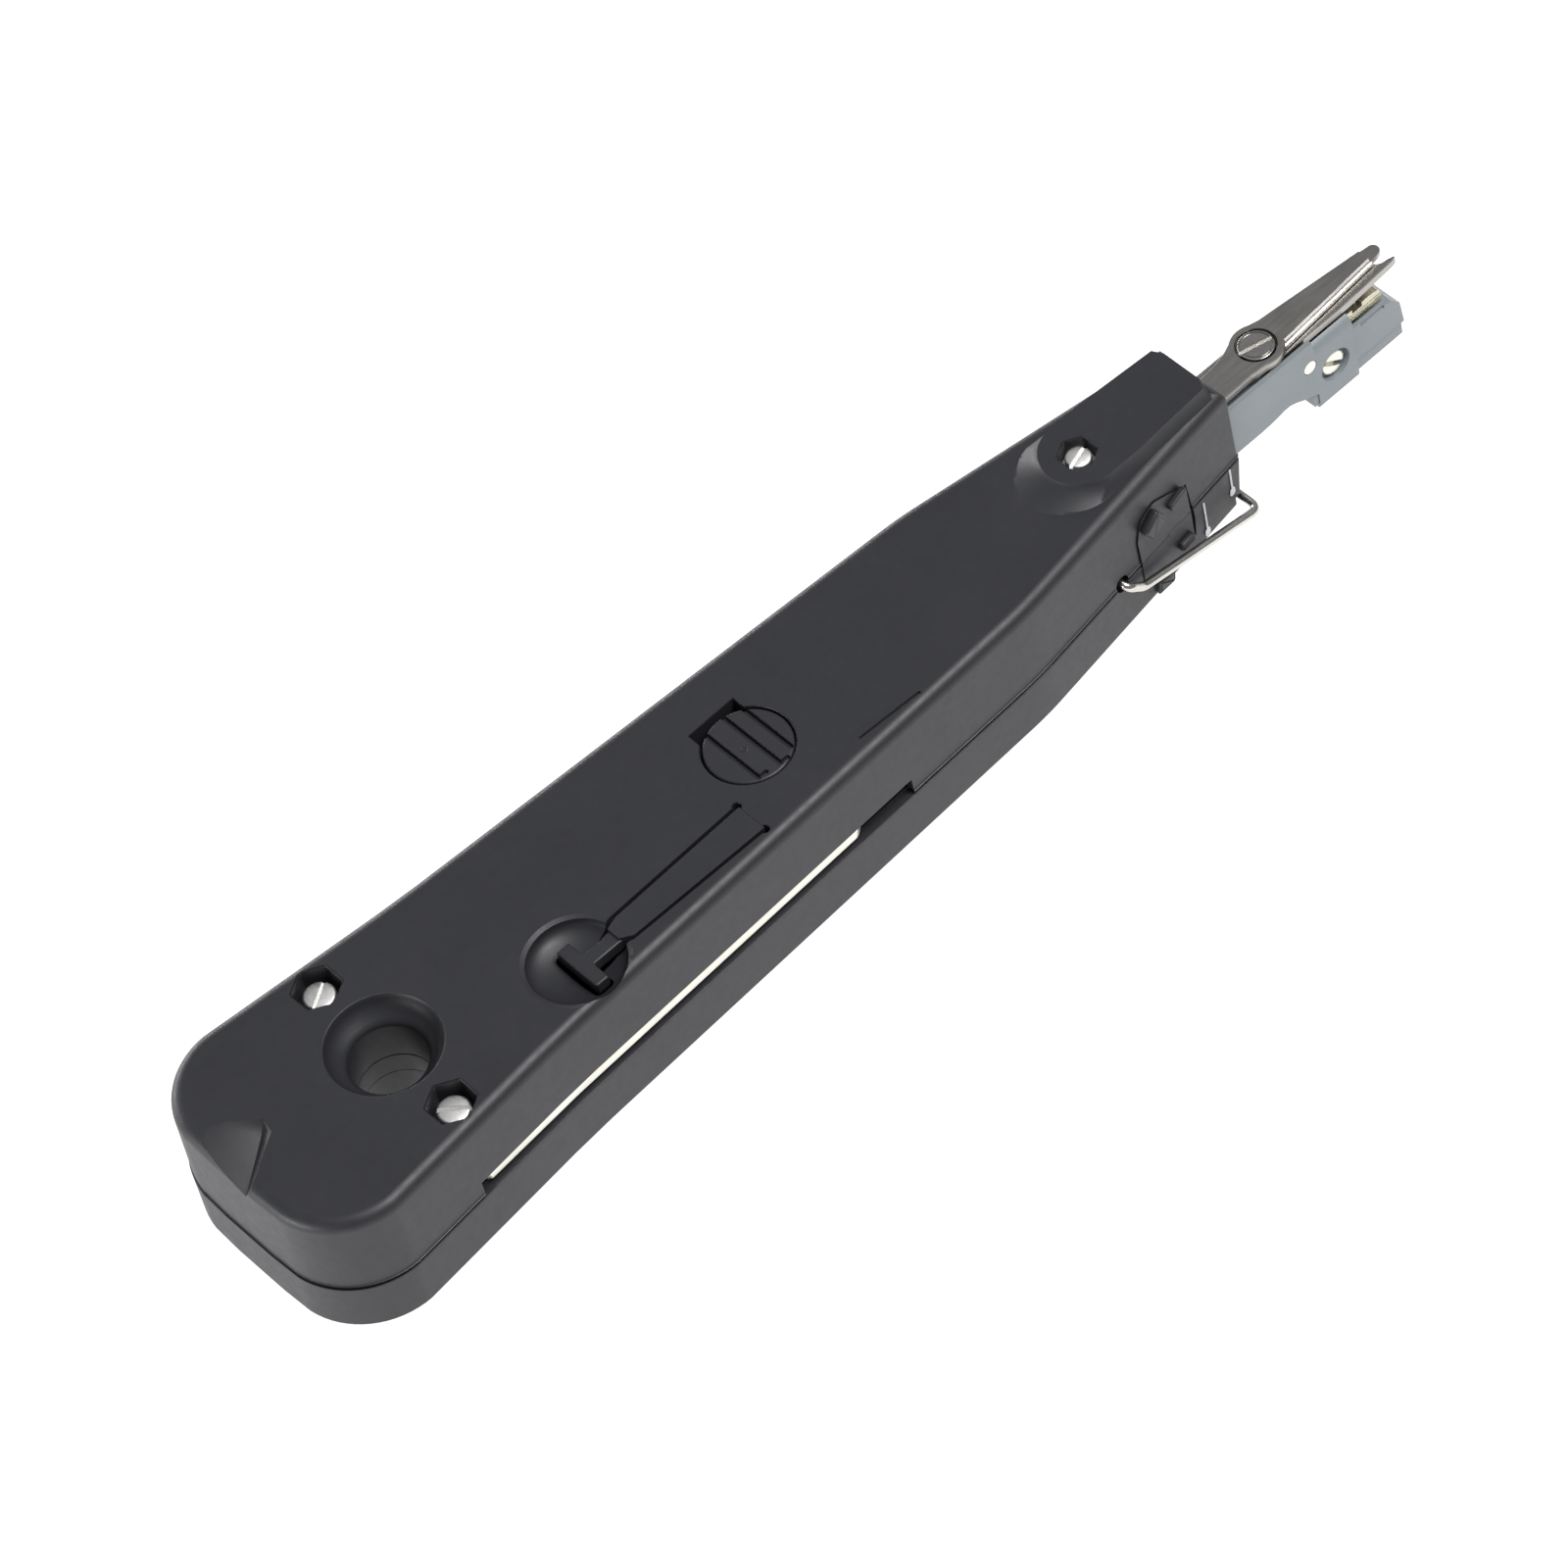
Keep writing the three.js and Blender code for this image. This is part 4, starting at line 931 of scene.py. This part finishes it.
def head_body():
    neck = across(
        [(SHANK_X, NECK_TOP_Z), (SHANK_X, NECK_LOW_Z), (68.5, NECK_LOW_Z), (69.8, 5.45), (71.2, 5.62),
         (72.4, 5.85), (73.4, 5.85), (74.4, 5.5), (75.4, 4.95), (BLOCK_X0 + 0.2, 3.75),
         (BLOCK_X0 + 0.2, NECK_TOP_Z)],
        -NECK_HALF, NECK_HALF,
    )
    right = [(NECK_HALF - 0.35, 1.1), (NECK_HALF, 1.6)] + arc(NECK_HALF - 1.6, 10.4, 1.6, 0, 90, 8)
    profile = right + [(-y, z) for y, z in reversed(right)]
    parts = [along(profile, BLOCK_X0, BLOCK_X1)]
    parts.append(block((63.2, -NECK_HALF, NECK_TOP_Z - 0.3), (BLOCK_X0, -CHEEK_HALF, CHEEK_Z)))
    parts.append(block((77.2, -3.6, 1.9), (78.5, 3.6, 4.2)))
    front = [(BLOCK_X1 - 0.1, 3.4), (BLOCK_X1 - 0.1, 9.1), (88.2, 8.85), (91.0, 8.4), (92.2, 7.0),
             (HEAD_END_X, 3.4)]
    parts.append(across(front, -3.3, 3.3))
    parts.append(block((BLOCK_X1 - 0.2, -3.05, 1.3), (92.2, 3.05, 3.5)))
    body = join(neck, *parts)
    x = HEAD_SCREW.x
    z = HEAD_SCREW.z
    tools = [
        block((FRONT_SCREW_X - 2.2, -2.2, 0), (FRONT_SCREW_X + 10.2, 2.2, 20)),
        rings_of([(1.75, 4), (1.75, 14)], PIVOT_X, 0, 32),
        pad(circle(PIVOT_X, 0, 2.55, 6), 4, 7.2),
        block((78.2, -2.8, 8.5), (94, 2.8, 14)),
        across(circle(x, z, HEAD_SCREW_R + 0.5, 48), -6, -2.9),
        across(circle(x, z, 1.05, 24), -6, 6),
        across(circle(x, z, 1.95, 6), 2.9, 6),
        across(circle(CROSS_PIN.x, CROSS_PIN.z, CROSS_PIN_R + 0.05, 32), -6, 6),
        moved(pad(circle(0, 0, 1.7, 24), 29, 42), Matrix.Translation((0, 0, 8.5)) @ ALONG),
        block((85.9, -3.6, 8.2), (89.8, -3.05, 9.5)),
    ]
    body = soften(cut(body, *tools), 0.13, 2, 30)
    finish_piece(body, "head_body_detail", "head", "head_plastic", GREY, "head_body", sharp=40)


def sensor_plate():
    """Gilt plate in the head's top, with a notch and two fine lines on its right side."""
    low, high = SENSOR_LOW, SENSOR_HIGH
    outline = [(low.x, low.z), (high.x - 0.1, low.z), (high.x, high.z - 1.0), (high.x - 0.5, high.z - 0.15),
               (high.x - 1.2, high.z), (low.x, high.z)]
    body = across(outline, low.y, high.y)
    tools = [
        block((85.6, low.y - 1, 10.35), (87.2, -1.4, 12)),
        block((86.2, -1.6, 10.5), (86.9, 0.2, 12)),
    ]
    for z in (9.4, 9.95):
        tools.append(block((low.x - 1, low.y - 1, z), (high.x + 1, low.y + 0.12, z + 0.12)))
    body = soften(cut(body, *tools), 0.06, 2, 30)
    finish_piece(body, "sensor_plate_detail", "sensor", "sensor_metal", GILT, "sensor_plate", sharp=40)


def shifted(points):
    """Points given from the scissors' pivot, in the frame."""
    return [(x + PIVOT_X, y) for x, y in points]


def upper_blade_outline():
    right = rounded(
        [(-31.5, -4.9), (-18.5, -4.9), (-15.5, -3.9), (-9.4, -2.95), (-3.4, -2.85), (-2.6, -3.0)],
        [0, 3, 3, 3, 1.5, 0], 4,
    )
    hub = arc(0, 0, 3.35, -112, -52, 14)
    prong = [(3.0, -1.82), (17.5, -0.74), (17.8, -1.12), (18.8, -1.0)] + arc(19.1, -0.05, 0.85, -80, 70, 10)
    left = [(17.7, 0.97), (5.0, 2.35), (2.9, 2.55)] + arc(0, 0, 3.3, 62, 128, 12)
    tail = rounded([(-3.4, 2.05), (-5.2, 1.6), (-9.4, 1.3), (-17, 3.0), (-31.5, 4.2)], [0, 2, 6, 3, 0], 4)
    return shifted(right + hub + prong + left + tail)


def lower_blade_outline():
    right = rounded(
        [(-31.5, -4.2), (-17, -3.0), (-9.4, -1.3), (-4.4, -1.7), (-2.9, -2.2)], [0, 3, 3, 2, 0], 4)
    hub = arc(0, 0, 2.9, -128, -72, 12)
    prong = [(2.4, -2.75), (12, -2.75), (19.9, -2.3), (20.6, -2.1), (20.7, -1.98), (19.9, -1.65)]
    prong += arc(19.3, -0.4, 1.15, 260, 130, 12) + [(17.2, 0.65), (2.9, 1.35)]
    left = arc(0, 0, 2.9, 40, 100, 12)
    tail = rounded([(-2.0, 2.85), (-9.4, 2.95), (-15.5, 3.9), (-18.5, 4.9), (-31.5, 4.9)], [0, 2, 3, 3, 0], 4)
    return shifted(right + hub + prong + left + tail)


def ground_edge(z):
    """The two ground steps along the upper prong's right edge."""
    high = z + BLADE_THICK
    steps = [(0.0, z), (0.0, high - 0.62), (0.22, high - 0.5), (0.26, high - 0.17), (0.5, high),
             (1.0, high), (1.0, z)]
    place = Matrix.Translation((PIVOT_X + 2.4, -2.4, 0)) @ Matrix.Rotation(math.radians(4.3), 4, "Z")
    return moved(along(steps, 0.0, 15.5), place)


def blades():
    rows = (
        ("upper_scissor_blade", upper_blade_outline(), UPPER_BLADE_Z, 2.5, -1, "upper_blade"),
        ("lower_scissor_blade", lower_blade_outline(), LOWER_BLADE_Z, 1.75, 1, "lower_blade"),
    )
    for node, outline, z, bore, lean, body_name in rows:
        body = pad(outline, z, z + BLADE_THICK, 0.2, 0.08, 3)
        if lean < 0:
            body = join(body, ground_edge(z))
        slot = capsule((FRONT_SCREW_X, 0), (FRONT_SCREW_X + TRAVEL, lean * 1.39), 2.2, 10)
        tools = [pad(slot, z - 1, z + 3), well(circle(PIVOT_X, 0, bore, 64), z + BLADE_THICK, z - 1, 0.06)]
        if node.startswith("upper"):
            tools.append(block((PIVOT_X + 17.75, -3, z + 0.75), (PIVOT_X + 21, 3, z + 2)))
        finish_piece(cut(body, *tools), node + "_detail", body_name, "blade_steel", SATIN, node, sharp=24)


# ---------- screws, nuts and pins ----------
def slotted_head(x, y, top, radius, shaft, end, turn, thick=1.5, crown=0.12, slot=0.52):
    """Slotted pan-head screw with its head on top."""
    under = top - thick
    rim = [(radius - i, top - crown - d) for i, d in quarter(0.34, 4)]
    stem = [(shaft - 0.15, end), (shaft, end + 0.25), (shaft, under)]
    foot = [(radius - 0.08, under), (radius, under + 0.1)]
    face = [(radius * 0.5, top - 0.02), (0.05, top)]
    body = rings_of(stem + foot + rim + face, x, y, 48)
    reach = Vector((math.cos(math.radians(turn)), math.sin(math.radians(turn)))) * (radius + 1)
    line = capsule((x - reach.x, y - reach.y), (x + reach.x, y + reach.y), slot / 2, 3)
    return cut(body, well(line, top, top - 0.6, 0.05, 2))


def casing_screws():
    rows = (
        ("rear_screw_right", -REAR_SCREW_Y, -42), ("rear_screw_left", REAR_SCREW_Y, 32),
    )
    for node, y, turn in rows:
        screw = slotted_head(HOLE_X, y, REAR_HEAD_Z, REAR_HEAD_R, SCREW_R, SCREW_TIP_Z, turn)
        finish_piece(screw, node + "_detail", "casing", "nickel", BRIGHT_NICKEL, node)
    front_top = FRONT_HEAD_Z + 0.4
    front = slotted_head(FRONT_SCREW_X, 0, front_top, FRONT_HEAD_R, SCREW_R, SCREW_TIP_Z, 16, thick=1.7)
    washer = cut(
        pad(circle(FRONT_SCREW_X, 0, 2.1, 48), 18.7, 19.1, 0.08),
        rings_of([(1.25, 17), (1.25, 20)], FRONT_SCREW_X, 0, 32),
        block((FRONT_SCREW_X - 3, -0.15, 18), (FRONT_SCREW_X, 0.15, 20)),
    )
    finish_piece(join(front, washer), "front_screw_detail", "casing", "nickel", BRIGHT_NICKEL, "front_screw")


def nut(node, body, x, y, low, high, bore):
    """Hexagonal nut with a rounded lower face."""
    shape = cut(
        pad(circle(x, y, NUT_R, 6), low, high, 0.1, 0.14, 2),
        rings_of([(bore + 0.3, low - 1), (bore + 0.25, low), (bore, low + 0.25), (bore, high + 1)], x, y, 32),
    )
    finish_piece(shape, node + "_detail", body, "nickel", NICKEL, node)


def nuts():
    for node, x, y in (("rear_nut_right", HOLE_X, -REAR_SCREW_Y), ("rear_nut_left", HOLE_X, REAR_SCREW_Y),
                       ("front_nut", FRONT_SCREW_X, 0)):
        nut(node, "casing", x, y, NUT_Z0, NUT_Z1, 1.3)
    nut("scissor_pivot_nut", "head", PIVOT_X, 0, NECK_LOW_Z, 6.9, 1.6)


def head_screw():
    x = HEAD_SCREW.x
    z = HEAD_SCREW.z
    upright = slotted_head(x, z, 3.5, HEAD_SCREW_R, 0.8, -3.7, -35, thick=0.55, crown=0.05, slot=0.66)
    screw = moved(upright, UPRIGHT)
    finish_piece(screw, "head_screw_detail", "head", "nickel", IVORY_NICKEL, "head_screw")


def cross_pin():
    pin = across(circle(CROSS_PIN.x, CROSS_PIN.z, CROSS_PIN_R, 40), -NECK_HALF + 0.02, NECK_HALF - 0.02, 0.09)
    finish_piece(pin, "head_cross_pin_detail", "head", "nickel", IVORY_NICKEL, "head_cross_pin")


def pivot_screw():
    """Big flat screw with a ring and a slot in its face."""
    top = UPPER_BLADE_Z + BLADE_THICK + 0.05
    shaft_r = 1.5
    head_r = 2.25
    head_low = 13.4
    rim = [(head_r - i, top - d) for i, d in quarter(0.12, 3)]
    stem = [(shaft_r, NECK_LOW_Z), (shaft_r, head_low), (head_r, head_low)]
    body = rings_of(stem + rim, PIVOT_X, 0, 64)
    ring = cut(
        well(circle(PIVOT_X, 0, 1.95, 64), top, top - 0.12, 0.03),
        rings_of([(1.8, top - 1), (1.8, top + 3)], PIVOT_X, 0, 64),
    )
    reach = Vector((math.cos(math.radians(-15)), math.sin(math.radians(-15)))) * 3
    line = capsule((PIVOT_X - reach.x, -reach.y), (PIVOT_X + reach.x, reach.y), 0.24, 3)
    body = cut(body, ring, well(line, top, top - 0.45, 0.06, 2))
    finish_piece(body, "scissor_pivot_screw_detail", "head", "nickel", SCREW_STEEL, "scissor_pivot_screw")


def index_marks():
    """Two painted marks on the lower shell's right side: a line that ends in a drop."""
    for name, x, high, low in (("front", 11.2, -0.45, -4.35), ("rear", 6.1, -1.2, -6.35)):
        line = across(capsule((x, low + 0.3), (x + 0.05, high), 0.14, 5), -0.04, 0.05)
        drop = across(rounded([(x - 0.55, low - 0.55), (x + 0.42, low - 0.5), (x + 0.45, low + 0.75),
                               (x - 0.4, low + 0.6)], 0.42, 6), -0.04, 0.05)
        mark = on_right_side(join(line, drop))
        piece = finish_piece(mark, "index_mark_" + name, "casing", "shell_plastic", PAINT)
        del piece["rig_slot"]  # paint isn't a slot of the part


knobs()
latches()
fold_out_tools()
lock_slider()
wire_bail()
head_body()
sensor_plate()
blades()
casing_screws()
nuts()
head_screw()
cross_pin()
pivot_screw()
index_marks()

# ---------- nodes kept from the frame ----------
KEPT = {
    "cam_sleeve": SPRING, "lock_bar": SPRING, "lock_detent_spring": SPRING, "head_nut": NICKEL,
    "sensor_spring": SPRING, "main_spring": SPRING, "spring_guide_rod": NICKEL, "spring_seat": SPRING,
}
for node, material in KEPT.items():
    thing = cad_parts[node]
    thing.data.materials.clear()
    thing.data.materials.append(material)


# ---------- studio ----------
def area_light(name, place, target, size, energy):
    data = bpy.data.lights.new(name, "AREA")
    data.shape = "RECTANGLE"
    data.size, data.size_y = size
    data.energy = energy
    light = bpy.data.objects.new(name, data)
    bpy.context.scene.collection.objects.link(light)
    light.location = place
    light.rotation_mode = "QUATERNION"
    light.rotation_quaternion = (Vector(target) - Vector(place)).to_track_quat("-Z", "Y")


def light_table():
    """A white floor that glows under the tool and dims further out."""
    floor_mesh = new_object("floor", [(-6, -6, 0), (6, -6, 0), (6, 6, 0), (-6, 6, 0)], [(0, 1, 2, 3)])
    floor_mesh.location.z = -0.0003
    material, nodes, links, shader, place = node_material("floor_white")
    tone = ranged(nodes, links, noise(nodes, links, place, 2, 2), 0, 1)
    links.new(tinted(nodes, links, tone, (0.3, 0.3, 0.3), (0.31, 0.31, 0.31)), shader.inputs["Base Color"])
    shader.inputs["Roughness"].default_value = 0.9
    shader.inputs["Specular IOR Level"].default_value = 0.0
    shader.inputs["Emission Color"].default_value = (1, 1, 1, 1)
    where = nodes.new("ShaderNodeTexCoord")
    distance = nodes.new("ShaderNodeVectorMath")
    distance.operation = "LENGTH"
    links.new(where.outputs["Object"], distance.inputs[0])
    glow = nodes.new("ShaderNodeMapRange")
    links.new(distance.outputs["Value"], glow.inputs["Value"])
    for name, value in (("From Min", 0.16), ("From Max", 0.24), ("To Min", 1.0), ("To Max", 0.2)):
        glow.inputs[name].default_value = value
    links.new(glow.outputs["Result"], shader.inputs["Emission Strength"])
    floor_mesh.data.materials.append(material)


def dim_room():
    """A grey surrounding, a little lighter overhead."""
    world = bpy.data.worlds.new("studio")
    bpy.context.scene.world = world
    world.use_nodes = True
    nodes, links = world.node_tree.nodes, world.node_tree.links
    background = nodes["Background"]
    place = nodes.new("ShaderNodeTexCoord")
    split = nodes.new("ShaderNodeSeparateXYZ")
    ramp = nodes.new("ShaderNodeValToRGB")
    links.new(place.outputs["Generated"], split.inputs[0])
    links.new(split.outputs["Z"], ramp.inputs["Fac"])
    links.new(ramp.outputs["Color"], background.inputs["Color"])
    stops = [(0.0, 0.14), (0.25, 0.18), (0.7, 0.3), (1.0, 0.38)]
    ramp.color_ramp.elements.remove(ramp.color_ramp.elements[1])
    ramp.color_ramp.elements[0].color = (0.14, 0.14, 0.147, 1)
    for position, level in stops[1:]:
        ramp.color_ramp.elements.new(position).color = (level, level, level * 1.05, 1)
    background.inputs["Strength"].default_value = 1.0


def soft_boxes():
    target = (0, 0, 0)
    area_light("key", (0.33, -0.4, 1.05), target, (0.5, 0.5), 12)
    area_light("backdrop", (-0.1, 1.2, 0.12), target, (1.4, 0.2), 10)
    area_light("rear", (-1.2, 0.15, 0.1), target, (0.9, 0.18), 8)


def camera():
    """A long lens seen from the tail's right side, rolled a little."""
    aim = Vector((-8.5, -7.7, TOP_Z)) / MM
    elevation = math.radians(52.35)
    azimuth = math.radians(31.11)
    roll = math.radians(14.48)
    distance = 0.8745
    forward = Vector((
        math.cos(elevation) * math.sin(azimuth), math.cos(elevation) * math.cos(azimuth), -math.sin(elevation)
    ))
    data = bpy.data.cameras.new("camera")
    data.lens = 180
    data.sensor_width = 36
    data.clip_start = 0.05
    thing = bpy.data.objects.new("camera", data)
    bpy.context.scene.collection.objects.link(thing)
    thing.location = aim - forward * distance
    thing.rotation_mode = "QUATERNION"
    level = forward.to_track_quat("-Z", "Y")
    thing.rotation_quaternion = level @ Matrix.Rotation(-roll, 4, "Z").to_quaternion()
    bpy.context.scene.camera = thing


light_table()
dim_room()
soft_boxes()
camera()
bpy.context.scene.view_settings.view_transform = "Standard"
